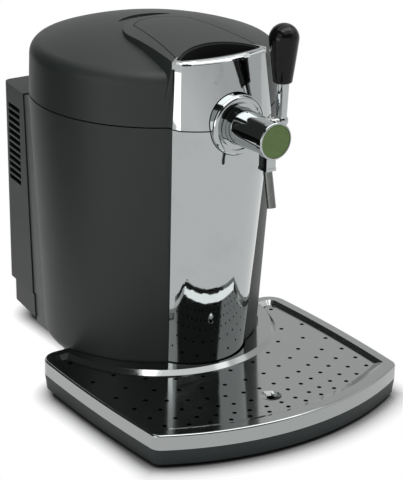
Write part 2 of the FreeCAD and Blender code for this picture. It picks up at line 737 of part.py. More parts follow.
# ================================================================ lid
def lid_shell():
    """Outer lid: dome, raised wedge and the carrier of the upper chrome panel."""
    low = SEAM_Z + SEAM_GAP / 2.0
    boss = bow_high(PANEL_WALL + FIT_GAP, low, 360.0).common(crown_ball(1.0))
    outer = lid_dome(0.0).fuse(wedge_solid(0.0)).fuse(boss)
    cavity = lid_dome(SHELL_WALL).fuse(post(LID_R - SHELL_WALL, low - 1.0, low + 1.0))
    wedge = wedge_solid(5.0).cut(box(-90, 90, -140, RECESS_REAR_Y + 8.0, 300, 380))
    bow = bow_high(PANEL_WALL + FIT_GAP + SHELL_WALL, low, 344.0)
    shell = outer.cut(cavity).cut(wedge).cut(bow)
    shell = shell.cut(recess_block(-FIT_GAP, RECESS_FLOOR_Z - FIT_GAP))
    pocket = prism(hatch_outline(HATCH_SEAM, 6.0), 340.0, 380.0).cut(crown_ball(HATCH_THICK + SEAT_GAP))
    shell = shell.cut(pocket)
    lip = bow_high(0.0, LIP_LOW_Z - FIT_GAP, 370.0).common(box(-90, 90, -160, -BOW_ROOT_Y_CREST - 0.5, 300, 380))
    shell = shell.cut(lip)
    for tip in lip_tips(FIT_GAP, LIP_LOW_Z - FIT_GAP):
        shell = shell.cut(tip)
    groove = prism([
        (-GROOVE_HALF_W, GROOVE_TIP_Y - 2.0),
        ((0, GROOVE_FRONT_Y), (GROOVE_HALF_W, GROOVE_TIP_Y - 2.0)),
        (GROOVE_HALF_W, GROOVE_TIP_Y),
        ((0, GROOVE_REAR_Y), (-GROOVE_HALF_W, GROOVE_TIP_Y)),
    ], LID_CROWN_Z - 1.0 - GROOVE_DEPTH, 380.0)
    floor = prism([
        (-GROOVE_HALF_W - 4, GROOVE_TIP_Y - 12.0),
        (GROOVE_HALF_W + 4, GROOVE_TIP_Y - 12.0),
        (GROOVE_HALF_W + 4, GROOVE_REAR_Y + 5.0),
        (-GROOVE_HALF_W - 4, GROOVE_REAR_Y + 5.0),
    ], LID_CROWN_Z - 7.5 - GROOVE_DEPTH, LID_CROWN_Z - 2.5)
    shell = shell.fuse(floor.common(lid_dome(0.5))).cut(groove)
    shell = shell.cut(collar_notch(0.9, -108.0))
    return biggest(shell.removeSplitter())


def lid_hatch():
    """Inlaid panel on the wedge, between the two side seams and the recess."""
    panel = prism(hatch_outline(0.0, -HATCH_SEAM), 335.0, 380.0)
    panel = panel.common(crown_ball(0.0)).cut(crown_ball(HATCH_THICK))
    for tip in lip_tips(FIT_GAP, 335.0):
        panel = panel.cut(tip)
    return biggest(panel)


def upper_front_panel():
    """Chrome front of the lid: sheet, rolled top edge and half round over the tap."""
    low = SEAM_Z + SEAM_GAP / 2.0
    outer = soften_bow(bow_high(0.0, low, LIP_CREST_Z + 8.4))
    sheet = outer.cut(bow_high(PANEL_WALL, low, LIP_LOW_Z))
    front = -BOW_ROOT_Y_CREST - 0.35
    sheet = sheet.cut(bow_high(LIP_DEPTH, 330.0, 370.0))
    sheet = sheet.common(box(-90, 90, -160, front, 200, 380)).common(crown_ball(0.0))
    sheet = sheet.cut(lid_dome(-0.35).fuse(wedge_solid(-0.35).common(box(-90, 90, -140, 90, 200, LIP_LOW_Z))))
    edge = panel_edge(SEAM_Z, PANEL_EDGE_R_TOP, BOW_CREST_Z, PANEL_EDGE_R_CREST, low - 1.0, LIP_LOW_Z)
    for side in mirrored(box(44.0, 90.0, -140.0, 0.0, low - 1.0, LIP_LOW_Z)):
        sheet = sheet.cut(edge.common(side))
    panel = biggest(sheet)
    for tip in lip_tips(0.0, LIP_LOW_Z):
        wrap = tip.common(wedge_solid(0.0).fuse(outer)).common(crown_ball(0.0))
        panel = panel.fuse(wrap)
    panel = panel.cut(recess_block(-FIT_GAP, RECESS_FLOOR_Z))
    panel = panel.cut(collar_notch(0.7, -110.0))
    return roll_lip(biggest(panel.removeSplitter()))


def soften_bow(solid):
    """Round the two upright corners of the chrome front."""
    picked = []
    for edge in solid.Edges:
        low = min((point.Point for point in edge.Vertexes), key=lambda point: point.z)
        high = max((point.Point for point in edge.Vertexes), key=lambda point: point.z)
        tall = high.z - low.z > 20.0
        part = (low.z - BOW_REF_LOW_Z) / (SEAM_Z - BOW_REF_LOW_Z)
        corner = blend(BOW_CORNER_X_LOW, BOW_CORNER_X_TOP, min(part, 1.0))
        if tall and abs(abs(low.x) - corner) < 1.0 and low.y < -100.0:
            picked.append(edge)
    return solid.makeFillet(PANEL_CORNER_R, picked)


def roll_lip(panel):
    """Round the outer top edge of the upper panel."""
    base = LIP_CREST_Z - LIP_ROLL_R
    wires = []
    for degrees in (0.0, 15.0, 30.0, 45.0, 60.0, 75.0, 86.0):
        turn = math.radians(degrees)
        inset = LIP_ROLL_R * (1.0 - math.cos(turn))
        wires.append(bow_wire(base + LIP_ROLL_R * math.sin(turn), inset))
    rolled = loft(wires)
    start = base + LIP_ROLL_R * math.sin(math.radians(8.0))
    shave = box(-80.0, 80.0, -160.0, -BOW_ROOT_Y_CREST - 0.5, start, base + 20.0)
    return biggest(panel.cut(shave.cut(rolled)))


def finger_recess():
    """Black cup behind the top edge of the upper panel, for lifting the lid."""
    outer = recess_block(0.0, RECESS_FLOOR_Z).common(crown_ball(1.2))
    inner = recess_block(RECESS_WALL, RECESS_FLOOR_Z + RECESS_WALL)
    return biggest(outer.cut(inner))


def lid_liner():
    """Inner wall of the lid with the hollow above the keg."""
    bottom = LINER_BOTTOM_Z
    top = LINER_CAVITY_TOP_Z
    liner = turned([
        (LINER_CAVITY_R - LINER_WALL, bottom),
        (LINER_R, bottom),
        (LINER_R, bottom + LINER_FLANGE),
        (LINER_CAVITY_R, bottom + LINER_FLANGE),
        (LINER_CAVITY_R, top),
        (0, top),
        (0, top - LINER_WALL),
        (LINER_CAVITY_R - LINER_WALL, top - LINER_WALL),
    ])
    liner = liner.cut(collar_notch(1.4, -104.0))
    liner = liner.cut(box(-8.0, 8.0, -130.0, -60.0, bottom - 2.0, LINE_CROSS_Z + 8.0))
    return biggest(liner)


def lid_insulation():
    """Foam cap between the liner and the lid shell."""
    low = LINER_BOTTOM_Z + LINER_FLANGE + SEAT_GAP
    foam = lid_dome(SHELL_WALL + 0.6).common(post(200.0, low, 400.0))
    foam = foam.cut(post(LINER_CAVITY_R + 0.5, low - 1.0, LINER_CAVITY_TOP_Z + 0.5))
    foam = foam.cut(box(-60.0, 60.0, -140.0, RECESS_REAR_Y + 2.0, low - 1.0, 400.0))
    foam = foam.cut(box(-8.0, 8.0, -130.0, -60.0, low - 1.0, LINE_CROSS_Z + 8.0))
    foam = foam.cut(box(-40.0, 40.0, -12.0, 45.0, LID_CROWN_Z - 8.5 - GROOVE_DEPTH, 400.0))
    return biggest(foam)


# ================================================================ hinge
def hinge_bracket():
    """Two ears on the back of the body that hold the hinge pin."""
    outer_x = LEAF_HALF_W + FIT_GAP + EAR_WIDTH
    inner_x = LEAF_HALF_W + FIT_GAP
    foot = box(-outer_x, outer_x, HINGE_Y - 6.0, HINGE_Y + 8.0, MODULE_TOP_Z, MODULE_TOP_Z + 3.0)
    parts = [foot]
    for side in (-1, 1):
        x0 = min(side * inner_x, side * outer_x)
        ear = box(x0, x0 + EAR_WIDTH, HINGE_Y - KNUCKLE_R, HINGE_Y + KNUCKLE_R, MODULE_TOP_Z, SEAM_Z)
        parts.append(ear)
        parts.append(rod_x(KNUCKLE_R, x0, x0 + EAR_WIDTH, HINGE_Y, SEAM_Z))
    bracket = union(parts)
    bracket = bracket.cut(rod_x(HINGE_PIN_R, -60.0, 60.0, HINGE_Y, SEAM_Z))
    for side in (-1, 1):
        bracket = bracket.cut(post(1.6, MODULE_TOP_Z - 1.0, MODULE_TOP_Z + 5.0, side * 14.0, HINGE_Y + 1.0))
    return bracket


def hinge_pin():
    """Steel pin through ears and knuckle."""
    reach = LEAF_HALF_W + FIT_GAP + EAR_WIDTH
    pin = rod_x(HINGE_PIN_R, -reach - 0.5, reach + 0.5, HINGE_Y, SEAM_Z)
    head = rod_x(HINGE_PIN_R + 1.5, reach + 0.1, reach + 2.0, HINGE_Y, SEAM_Z)
    return union([pin, head])


def hinge_screws():
    """Two screws that hold the hinge bracket on the module."""
    screws = []
    for side in (-1, 1):
        shank = post(1.5, MODULE_TOP_Z - 5.0, MODULE_TOP_Z + 3.0, side * 14.0, HINGE_Y + 1.0)
        head = post(3.0, MODULE_TOP_Z + 3.0, MODULE_TOP_Z + 4.8, side * 14.0, HINGE_Y + 1.0)
        screws.append(union([shank, head]))
    return Part.makeCompound(screws)


def lid_hinge_leaf():
    """Knuckle and arm fixed to the back wall of the lid."""
    low = SEAM_Z + SEAM_GAP / 2.0 + 0.6
    knuckle = rod_x(KNUCKLE_R, -LEAF_HALF_W, LEAF_HALF_W, HINGE_Y, SEAM_Z)
    arm = box(-LEAF_HALF_W, LEAF_HALF_W, 112.0, HINGE_Y, low, SEAM_Z + KNUCKLE_R)
    pad = box(-LEAF_HALF_W, LEAF_HALF_W, 112.0, LID_R + 3.0, low, low + 18.0)
    leaf = union([knuckle, arm, pad])
    leaf = leaf.cut(post(LID_R + 0.05, SEAM_Z - 20.0, SEAM_Z + 60.0))
    leaf = leaf.cut(rod_x(HINGE_PIN_R + 0.06, -60.0, 60.0, HINGE_Y, SEAM_Z))
    return biggest(leaf)


# ================================================================ tap
def tap_bracket():
    """Cradle inside the front of the body that carries the tap."""
    block = box(-36.0, 36.0, COLLAR_REAR_Y, -127.0, 246.0, RIM_BOTTOM_Z - FIT_GAP)
    inner = bow_low(PANEL_WALL + SHELL_WALL + FIT_GAP + SEAT_GAP, 240.0, RIM_BOTTOM_Z)
    block = block.common(inner)
    block = block.cut(rod_y(COLLAR_SPIGOT_R + SEAT_GAP, -160.0, -100.0, 0.0, TAP_Z))
    for x in (-TAP_SCREW_X, TAP_SCREW_X):
        block = block.cut(rod_y(2.05, -160.0, -110.0, x, TAP_SCREW_Z))
    return biggest(block)


def tap_screws():
    """Two screws from the cradle into the collar."""
    screws = []
    for x in (-TAP_SCREW_X, TAP_SCREW_X):
        shank = rod_y(2.0, COLLAR_REAR_Y - 4.0, -127.0, x, TAP_SCREW_Z)
        head = rod_y(3.2, -127.0, -124.8, x, TAP_SCREW_Z)
        screws.append(union([shank, head]))
    return Part.makeCompound(screws)


def tap_collar():
    """Chrome flange around the root of the tap."""
    nose = NOSE_R_REAR + SEAT_GAP
    collar = turned_y([
        (nose, COLLAR_SPIGOT_Y),
        (nose, COLLAR_FRONT_Y - 1.2),
        (22.4, COLLAR_FRONT_Y - 1.2),
        (22.4, COLLAR_FRONT_Y + 1.8),
        (24.6, COLLAR_FRONT_Y + 1.8),
        (24.6, COLLAR_FRONT_Y),
        (26.0, COLLAR_FRONT_Y),
        ((28.8, COLLAR_FRONT_Y + 1.2), (COLLAR_R, COLLAR_FRONT_Y + 4.0)),
        (COLLAR_R, COLLAR_REAR_Y),
        (COLLAR_SPIGOT_R, COLLAR_REAR_Y),
        (COLLAR_SPIGOT_R, COLLAR_SPIGOT_Y),
    ], 0.0, TAP_Z)
    skirt = rod_y(COLLAR_R, COLLAR_REAR_Y - 2.0, COLLAR_SKIRT_Y, 0.0, TAP_Z)
    skirt = skirt.cut(rod_y(COLLAR_R - 2.0, COLLAR_REAR_Y - 3.0, COLLAR_SKIRT_Y + 1.0, 0.0, TAP_Z))
    skirt = skirt.common(box(-50.0, 50.0, -170.0, -100.0, COLLAR_SKIRT_Z, 340.0))
    collar = union([collar, skirt])
    for x in (-TAP_SCREW_X, TAP_SCREW_X):
        collar = collar.cut(rod_y(2.05, COLLAR_REAR_Y - 4.2, COLLAR_REAR_Y + 1.0, x, TAP_SCREW_Z))
    return biggest(collar)


def nose_radius(y):
    """Outer radius of the tap nose at a distance in front of the axis."""
    part = (y - NOSE_COLLAR_Y) / (NOSE_FRONT_Y - NOSE_COLLAR_Y)
    return blend(NOSE_R_REAR, NOSE_R_FRONT, max(0.0, part))


def tap_body():
    """Tapered tube that houses the pinch valve, closed by the badge."""
    wall = NOSE_WALL
    nose = turned_y([
        (NOSE_R_REAR - wall, NOSE_REAR_Y),
        (NOSE_R_REAR, NOSE_REAR_Y),
        (NOSE_R_REAR, NOSE_COLLAR_Y),
        (NOSE_R_FRONT, NOSE_FRONT_Y),
        (NOSE_R_FRONT - 3.0, NOSE_FRONT_Y),
        (NOSE_R_FRONT - 3.0, NOSE_FRONT_Y + 2.0),
        (NOSE_R_REAR - wall, NOSE_COLLAR_Y),
    ], 0.0, TAP_Z)
    nose = nose.cut(rod_x(SHAFT_R + 0.05, 0.0, 30.0, LEVER_Y, TAP_Z))
    nose = nose.cut(rod_x(SHAFT_NECK_R + 0.05, -16.6, 0.0, LEVER_Y, TAP_Z))
    half_w = SPOUT_BLOCK_W / 2.0 + 0.1
    y0 = SPOUT_BLOCK_Y - SPOUT_BLOCK_D / 2.0 - 0.1
    y1 = SPOUT_BLOCK_Y + SPOUT_BLOCK_D / 2.0 + 0.1
    nose = nose.cut(box(-half_w, half_w, max(y0, NOSE_FRONT_Y + 0.9), y1, 250.0, TAP_Z - 8.0))
    return biggest(nose)


def badge_ring():
    """Chrome cap on the nose that frames the badge."""
    return turned_y([
        (0, NOSE_FRONT_Y - 0.2),
        (BADGE_R - 0.8, NOSE_FRONT_Y - 0.2),
        (BADGE_R, NOSE_FRONT_Y - 1.0),
        (BADGE_R, BADGE_FRONT_Y + 1.2),
        ((BADGE_R - 0.4, BADGE_FRONT_Y + 0.35), (BADGE_R - 1.2, BADGE_FRONT_Y)),
        (BADGE_DISC_R + 0.2, BADGE_FRONT_Y),
        (BADGE_DISC_R + 0.2, BADGE_FRONT_Y + BADGE_DEPTH + 1.0),
        (0, BADGE_FRONT_Y + BADGE_DEPTH + 1.0),
    ], 0.0, TAP_Z)


def badge_disc():
    """Round badge plate, left bare."""
    return rod_y(BADGE_DISC_R, BADGE_FRONT_Y + 0.5, BADGE_FRONT_Y + BADGE_DEPTH + 1.0, 0.0, TAP_Z)


def spout_axis_y(z):
    """Forward position of the leaning spout axis at a height."""
    lean = math.tan(math.radians(SPOUT_LEAN))
    grip = (SPOUT_BLOCK_LOW_Z + SPOUT_TOP_Z) / 2.0
    return SPOUT_BLOCK_Y - lean * (grip - z)


def spout_line(radius, z0, z1):
    """A cylinder along the leaning spout axis between two heights."""
    low = vec(0, spout_axis_y(z0), z0)
    high = vec(0, spout_axis_y(z1), z1)
    run = high.sub(low)
    return Part.makeCylinder(radius, run.Length, low, run)


def spout_block():
    """Holder under the nose that grips the spout tube."""
    half_w = SPOUT_BLOCK_W / 2.0
    half_d = SPOUT_BLOCK_D / 2.0
    y0 = SPOUT_BLOCK_Y - half_d
    y1 = SPOUT_BLOCK_Y + half_d
    y0_top = max(y0, NOSE_FRONT_Y + 1.1)
    lower = box(-half_w, half_w, y0, y1, SPOUT_BLOCK_LOW_Z + 3.0, TAP_Z - NOSE_R_REAR + 1.0)
    upper = box(-half_w, half_w, y0_top, y1, TAP_Z - NOSE_R_REAR, SPOUT_BLOCK_TOP_Z)
    wide = half_w + SPOUT_LIP
    lip = box(-wide, wide, y0 - SPOUT_LIP, y1 + SPOUT_LIP, SPOUT_BLOCK_LOW_Z, SPOUT_BLOCK_LOW_Z + 3.0)
    badge = rod_y(BADGE_R + 0.2, NOSE_FRONT_Y - 12.0, NOSE_FRONT_Y + 0.2, 0.0, TAP_Z)
    block = union([lower, upper, lip]).cut(badge)
    block = block.cut(spout_line(SPOUT_R + 0.05, SPOUT_BLOCK_LOW_Z - 5.0, SPOUT_TOP_Z))
    line_y = spout_axis_y(SPOUT_TOP_Z)
    pass_r = LINE_R + 0.4
    block = block.cut(post(pass_r, SPOUT_TOP_Z - 4.0, SPOUT_BLOCK_TOP_Z + 1.0, 0.0, line_y))
    block = block.cut(box(-pass_r, pass_r, line_y, y1 + 1.0, SPOUT_TOP_Z + 5.0, SPOUT_BLOCK_TOP_Z + 1.0))
    return biggest(block)


def spout_tube():
    """Chrome outlet tube."""
    tube = spout_line(SPOUT_R, SPOUT_LOW_Z, SPOUT_TOP_Z - 0.3)
    return tube.cut(spout_line(SPOUT_BORE_R, SPOUT_LOW_Z - 5.0, SPOUT_TOP_Z + 5.0))


def tube_path(points, radius):
    """A round tube along straight runs joined by tangent arcs."""
    edges = []
    start = points[0]
    for index in range(1, len(points) - 1):
        corner = points[index]
        into = corner.sub(points[index - 1])
        out = points[index + 1].sub(corner)
        turn = into.getAngle(out)
        shorter = min(into.Length, out.Length)
        back = 0.45 * shorter
        into.normalize()
        out.normalize()
        first = corner.sub(FreeCAD.Vector(into).multiply(back))
        last = corner.add(FreeCAD.Vector(out).multiply(back))
        bend = back / math.tan(turn / 2.0)
        middle = FreeCAD.Vector(out).sub(into)
        middle.normalize()
        hub = corner.add(FreeCAD.Vector(middle).multiply(math.hypot(bend, back)))
        apex = hub.sub(FreeCAD.Vector(middle).multiply(bend))
        edges.append(Part.makeLine(start, first))
        edges.append(Part.Arc(first, apex, last).toShape())
        start = last
    edges.append(Part.makeLine(start, points[-1]))
    path = Part.Wire(edges)
    run = points[1].sub(points[0])
    ring = Part.Wire(Part.makeCircle(radius, points[0], run))
    return path.makePipeShell([ring], True, False)


def beer_line():
    """Flexible line from the keg connector over the rim to the spout."""
    down_y = spout_axis_y(SPOUT_TOP_Z)
    route = [
        vec(0, down_y, SPOUT_TOP_Z + 0.3),
        vec(0, down_y, LINE_Z),
        vec(0, -130.0, LINE_Z),
        vec(0, -96.0, LINE_CROSS_Z),
        vec(0, -58.0, LINE_CROSS_Z + 1.5),
        vec(0, -CONNECTOR_FLAT, LINE_CROSS_Z + 1.5),
    ]
    return tube_path(route, LINE_R)


def keg_connector():
    """Coupling that sits on the valve of the keg."""
    low = WELL_FLOOR_Z + 251.0
    body = post(14.0, low, low + 12.0).fuse(post(9.0, low + 12.0, low + 17.0))
    body = body.removeSplitter().cut(post(5.0, low - 1.0, low + 6.0))
    return body.cut(box(-20.0, 20.0, -20.0, -CONNECTOR_FLAT, low - 1.0, low + 20.0))


# ================================================================ lever
def lever_shaft():
    """Horizontal shaft of the lever, with a slimmer neck inside the nose."""
    bearing = nose_radius(LEVER_Y)
    thick = rod_x(SHAFT_R, bearing - NOSE_WALL - 1.0, LEVER_X + 2.5, LEVER_Y, TAP_Z)
    neck = rod_x(SHAFT_NECK_R, -16.2, bearing - NOSE_WALL, LEVER_Y, TAP_Z)
    return union([thick, neck])


def lever_stem():
    """Chrome stem with the eye that grips the shaft."""
    eye = Part.makeSphere(STEM_EYE_R, vec(LEVER_X, LEVER_Y, TAP_Z))
    rise = Part.makeCone(STEM_R_LOW, STEM_R_TOP, KNOB_LOW_Z - TAP_Z, vec(LEVER_X, LEVER_Y, TAP_Z), vec(0, 0, 1))
    tang = post(4.0, KNOB_LOW_Z - 1.0, KNOB_LOW_Z + 30.0, LEVER_X, LEVER_Y)
    stem = union([eye, rise, tang])
    return stem.cut(rod_x(SHAFT_R, LEVER_X - 20.0, LEVER_X + 2.5, LEVER_Y, TAP_Z))


def lever_knob():
    """Black pear-shaped knob."""
    height = KNOB_TOP_Z - KNOB_LOW_Z
    cap = KNOB_TOP_Z - KNOB_R_MAX
    turn = math.sqrt(0.5)
    belly = (blend(KNOB_R_LOW, KNOB_R_MAX, 0.56), KNOB_LOW_Z + height * 0.40)
    knob = turned([
        (0, KNOB_LOW_Z),
        (KNOB_R_LOW - 1.5, KNOB_LOW_Z),
        ((KNOB_R_LOW - 0.3, KNOB_LOW_Z + 0.6), (KNOB_R_LOW + 0.3, KNOB_LOW_Z + 2.4)),
        (belly, (KNOB_R_MAX, cap)),
        ((KNOB_R_MAX * turn, cap + KNOB_R_MAX * turn), (0, KNOB_TOP_Z)),
    ])
    knob.translate(vec(LEVER_X, LEVER_Y, 0))
    return knob.cut(post(4.05, KNOB_LOW_Z - 1.0, KNOB_LOW_Z + 30.3, LEVER_X, LEVER_Y))


def pinch_bar():
    """Bar that presses the beer line shut when the lever is upright."""
    low = LINE_Z + LINE_R + 0.2
    bar = box(-5.0, 5.0, LEVER_Y - 4.0, LEVER_Y + 4.0, low, low + 2.2)
    return bar


# ================================================================ cooling module
def frame_foot():
    """Hollow skirt that carries the fixed half of the module down to the table side."""
    top = MODULE_BOTTOM_Z + FRAME_STEP + 1.0
    skirt = []
    for inset, low, high in ((FRAME_STEP, FRAME_FOOT_Z, top), (FRAME_STEP + MODULE_WALL, FRAME_FOOT_Z - 1.0, top - 2.0)):
        skirt.append(loft([module_wire(low, inset, MODULE_STEP_IN), module_wire(high, inset, MODULE_STEP_IN)]))
    return skirt[0].cut(skirt[1]).common(joint_half(False))


def module_frame():
    """Fixed half of the module with the bulkhead that carries the parts."""
    outer = module_solid(FRAME_STEP).common(joint_half(False))
    step = box(-120, 120, -50, PLATE_Y + PLATE_WALL, 0.0, 300.0)
    lip = module_solid(MODULE_WALL + FIT_GAP).common(step)
    frame = union([outer, lip, frame_foot()])
    hollow = module_solid(MODULE_WALL * 2.0 + FIT_GAP).common(box(-120, 120, -50, PLATE_Y, 0.0, 300.0))
    frame = frame.cut(hollow)
    frame = frame.cut(cone_clear(FIT_GAP))
    window = PELTIER_HALF + 4.0
    frame = frame.cut(box(-window, window, 100.0, 150.0, SINK_Z - window, SINK_Z + window))
    posts = []
    for x in (-COVER_SCREW_X, COVER_SCREW_X):
        for z in (COVER_SCREW_LOW_Z, COVER_SCREW_TOP_Z):
            posts.append(rod_y(4.5, PLATE_Y + PLATE_WALL - 0.5, cover_rear_y(z) - 6.3, x, z))
    for x in (-54.0, 8.0):
        for z in (71.0, 116.0):
            posts.append(rod_y(3.0, PLATE_Y + PLATE_WALL - 0.5, PLATE_Y + PLATE_WALL + 4.0, x, z))
    half = BRACKET_HALF_W + 1.5
    anchor = box(-half, half, 115.0, HINGE_Y + 9.5, MODULE_TOP_Z - 12.0, MODULE_TOP_Z)
    posts.append(anchor.cut(cone_clear(FIT_GAP)))
    frame = union([frame] + posts)
    for x in (-COVER_SCREW_X, COVER_SCREW_X):
        for z in (COVER_SCREW_LOW_Z, COVER_SCREW_TOP_Z):
            frame = frame.cut(rod_y(1.9, 140.0, 170.0, x, z))
    for side in (-1, 1):
        frame = frame.cut(post(1.5, MODULE_TOP_Z - 6.0, MODULE_TOP_Z + 1.0, side * 14.0, HINGE_Y + 1.0))
    return biggest(frame)


def rear_cover():
    """Removable back of the module with louvred sides."""
    outer = module_solid(0.0).common(joint_half(True))
    outer = outer.cut(box(-120, 120, 0.0, JOINT_Y_LOW - 2.0, 0.0, 300.0))
    hollow = module_solid(MODULE_WALL)
    cover = outer.cut(hollow)
    for x in (-COVER_SCREW_X, COVER_SCREW_X):
        for z in (COVER_SCREW_LOW_Z, COVER_SCREW_TOP_Z):
            face = cover_rear_y(z)
            cover = cover.fuse(rod_y(6.5, face - 6.0, face - 0.5, x, z))
    front_half = joint_half(False)
    front_half.translate(vec(0, FIT_GAP, 0))
    cover = cover.cut(front_half)
    cover = cover.cut(cone_clear(FIT_GAP))
    half = BRACKET_HALF_W + 1.5 + SEAT_GAP
    cover = cover.cut(box(-half, half, 100.0, HINGE_Y + 9.5 + SEAT_GAP, 240.0, 280.0))
    pitch = (VENT_TOP_Z - VENT_LOW_Z) / VENT_ROWS
    for row in range(VENT_ROWS):
        z0 = VENT_LOW_Z + row * pitch
        slot = box(-100.0, 100.0, VENT_Y_FRONT, VENT_Y_REAR, z0 + VENT_RIB / 2.0, z0 + pitch - VENT_RIB / 2.0)
        cover = cover.cut(slot)
    for row in range(9):
        z0 = 148.0 + row * 7.4
        cover = cover.cut(box(-34.0, 34.0, 155.0, 180.0, z0, z0 + 4.6))
    cover = cover.cut(box(23.7, 54.3, 150.0, 180.0, 60.7, 83.3))
    cover = cover.cut(box(26.7, 51.3, 150.0, 180.0, 97.7, 115.3))
    for x in (-COVER_SCREW_X, COVER_SCREW_X):
        for z in (COVER_SCREW_LOW_Z, COVER_SCREW_TOP_Z):
            face = cover_rear_y(z)
            cover = cover.cut(rod_y(2.2, 140.0, 180.0, x, z))
            cover = cover.cut(rod_y(4.1, face - 2.4, 180.0, x, z))
    return biggest(cover)


def cover_rear_y(z):
    """Outer face of the rear cover at a height."""
    part = (z - MODULE_BOTTOM_Z) / (MODULE_TOP_Z - MODULE_BOTTOM_Z)
    return blend(MODULE_REAR_LOW, MODULE_REAR_TOP, part)


def cover_screws():
    """Four screws that hold the rear cover."""
    screws = []
    for x in (-COVER_SCREW_X, COVER_SCREW_X):
        for z in (COVER_SCREW_LOW_Z, COVER_SCREW_TOP_Z):
            face = cover_rear_y(z) - 2.3
            shank = rod_y(1.85, 144.0, face, x, z)
            head = rod_y(3.8, face, face + 1.8, x, z)
            screws.append(union([shank, head]))
    return Part.makeCompound(screws)


def cold_block():
    """Aluminium block between the keg well and the thermoelectric module."""
    half = PELTIER_HALF - 0.2
    y1 = PLATE_Y - PELTIER_THICK - 0.4
    block = box(-half, half, 60.0, y1, SINK_Z - half, SINK_Z + half)
    return biggest(block.cut(post(WELL_R + WELL_WALL + 0.05, 100.0, 260.0)))


def peltier_module():
    """Thermoelectric cooling element."""
    half = PELTIER_HALF - 0.2
    y0 = PLATE_Y - PELTIER_THICK - 0.3
    return box(-half, half, y0, y0 + PELTIER_THICK, SINK_Z - half, SINK_Z + half)


def heat_sink():
    """Finned sink behind the bulkhead."""
    half = PELTIER_HALF - 0.2
    plate_y = PLATE_Y + PLATE_WALL + SEAT_GAP
    boss = box(-half, half, PLATE_Y - 0.25, plate_y + 1.0, SINK_Z - half, SINK_Z + half)
    base = box(-SINK_HALF_W, SINK_HALF_W, plate_y, plate_y + 3.4, SINK_Z - SINK_HALF_H, SINK_Z + SINK_HALF_H)
    parts = [boss, base]
    fins = 11
    pitch = (2.0 * SINK_HALF_W - 1.6) / (fins - 1)
    for index in range(fins):
        x = -SINK_HALF_W + index * pitch
        parts.append(box(x, x + 1.6, plate_y + 3.0, plate_y + 13.5, SINK_Z - SINK_HALF_H, SINK_Z + SINK_HALF_H))
    return union(parts)


def fan_y():
    """Front face of the fan."""
    return PLATE_Y + PLATE_WALL + SEAT_GAP + 13.5 + 0.2


def fan_frame():
    """Square fan housing with its stator spokes."""
    y0 = fan_y()
    y1 = y0 + FAN_DEPTH
    frame = box(-FAN_HALF, FAN_HALF, y0, y1, SINK_Z - FAN_HALF, SINK_Z + FAN_HALF)
    frame = frame.cut(rod_y(FAN_BORE_R, y0 - 1.0, y1 + 1.0, 0.0, SINK_Z))
    spokes = [
        rod_y(ROTOR_HUB_R - 1.0, y0, y0 + 1.6, 0.0, SINK_Z),
        box(-FAN_BORE_R - 1.0, FAN_BORE_R + 1.0, y0, y0 + 1.6, SINK_Z - 1.6, SINK_Z + 1.6),
        box(-1.6, 1.6, y0, y0 + 1.6, SINK_Z - FAN_BORE_R - 1.0, SINK_Z + FAN_BORE_R + 1.0),
        rod_y(2.0, y0, y0 + 8.0, 0.0, SINK_Z),
    ]
    return union([frame] + spokes)


def fan_rotor():
    """Hub with seven blades."""
    y0 = fan_y() + 2.2
    y1 = fan_y() + FAN_DEPTH - 1.0
    hub = rod_y(ROTOR_HUB_R, y0, y1, 0.0, SINK_Z)
    parts = [hub]
    for index in range(FAN_BLADES):
        blade = box(ROTOR_HUB_R - 1.5, ROTOR_R - 0.6, -0.8, 0.8, -6.0, 6.0)
        blade.rotate(vec(0, 0, 0), vec(1, 0, 0), 52)
        blade.rotate(vec(0, 0, 0), vec(0, 1, 0), 360.0 * index / FAN_BLADES)
        blade.translate(vec(0, (y0 + y1) / 2.0, SINK_Z))
        parts.append(blade)
    rotor = union(parts)
    return rotor.cut(rod_y(2.06, y0 - 1.0, y0 + 6.4, 0.0, SINK_Z))


def power_board():
    """Control board with its main components."""
    y0 = PLATE_Y + PLATE_WALL + 4.0
    board = box(-57.0, 14.0, y0, y0 + 1.6, 67.0, 120.0)
    parts = [board]
    for x, z, radius, tall in ((0.0, 84.0, 6.0, 13.0), (0.0, 100.0, 6.0, 13.0), (-14.0, 76.0, 3.5, 9.0)):
        parts.append(rod_y(radius, y0 + 1.5, y0 + tall, x, z))
    parts.append(box(-20.0, -8.0, y0 + 1.5, y0 + 4.6, 102.0, 114.0))
    return union(parts)


def transformer():
    """Mains transformer on the board."""
    y0 = PLATE_Y + PLATE_WALL + 5.6 + 0.05
    core = box(-54.0, -24.0, y0, y0 + 20.0, 74.0, 108.0)
    coil = box(-51.5, -26.5, y0, y0 + 23.0, 71.0, 111.0)
    return union([core, coil])


def power_inlet():
    """Mains socket in the back of the cover."""
    y1 = 168.6
    body = box(24.0, 54.0, 150.0, y1, 61.0, 83.0)
    flange = box(22.0, 56.0, 166.7, y1, 58.5, 85.5)
    inlet = union([body, flange])
    pocket = box(27.0, 51.0, 155.0, y1 + 1.0, 64.0, 80.0)
    inlet = inlet.cut(pocket)
    pins = []
    for x in (33.0, 39.0, 45.0):
        pins.append(box(x - 1.0, x + 1.0, 154.5, 163.0, 70.0, 74.5))
    return union([inlet] + pins)


def switch_bezel():
    """Frame of the mains switch."""
    y1 = 169.6
    body = box(27.0, 51.0, 152.0, y1, 98.0, 115.0)
    flange = box(25.0, 53.0, 167.5, y1, 95.8, 117.2)
    bezel = union([body, flange])
    bezel = bezel.cut(box(29.0, 49.0, 154.0, y1 + 1.0, 100.0, 113.0))
    return bezel.cut(rod_x(SWITCH_PIVOT_R + 0.06, SWITCH_X0 - 1.4, SWITCH_X1 + 1.4, SWITCH_AXIS_Y, SWITCH_AXIS_Z))


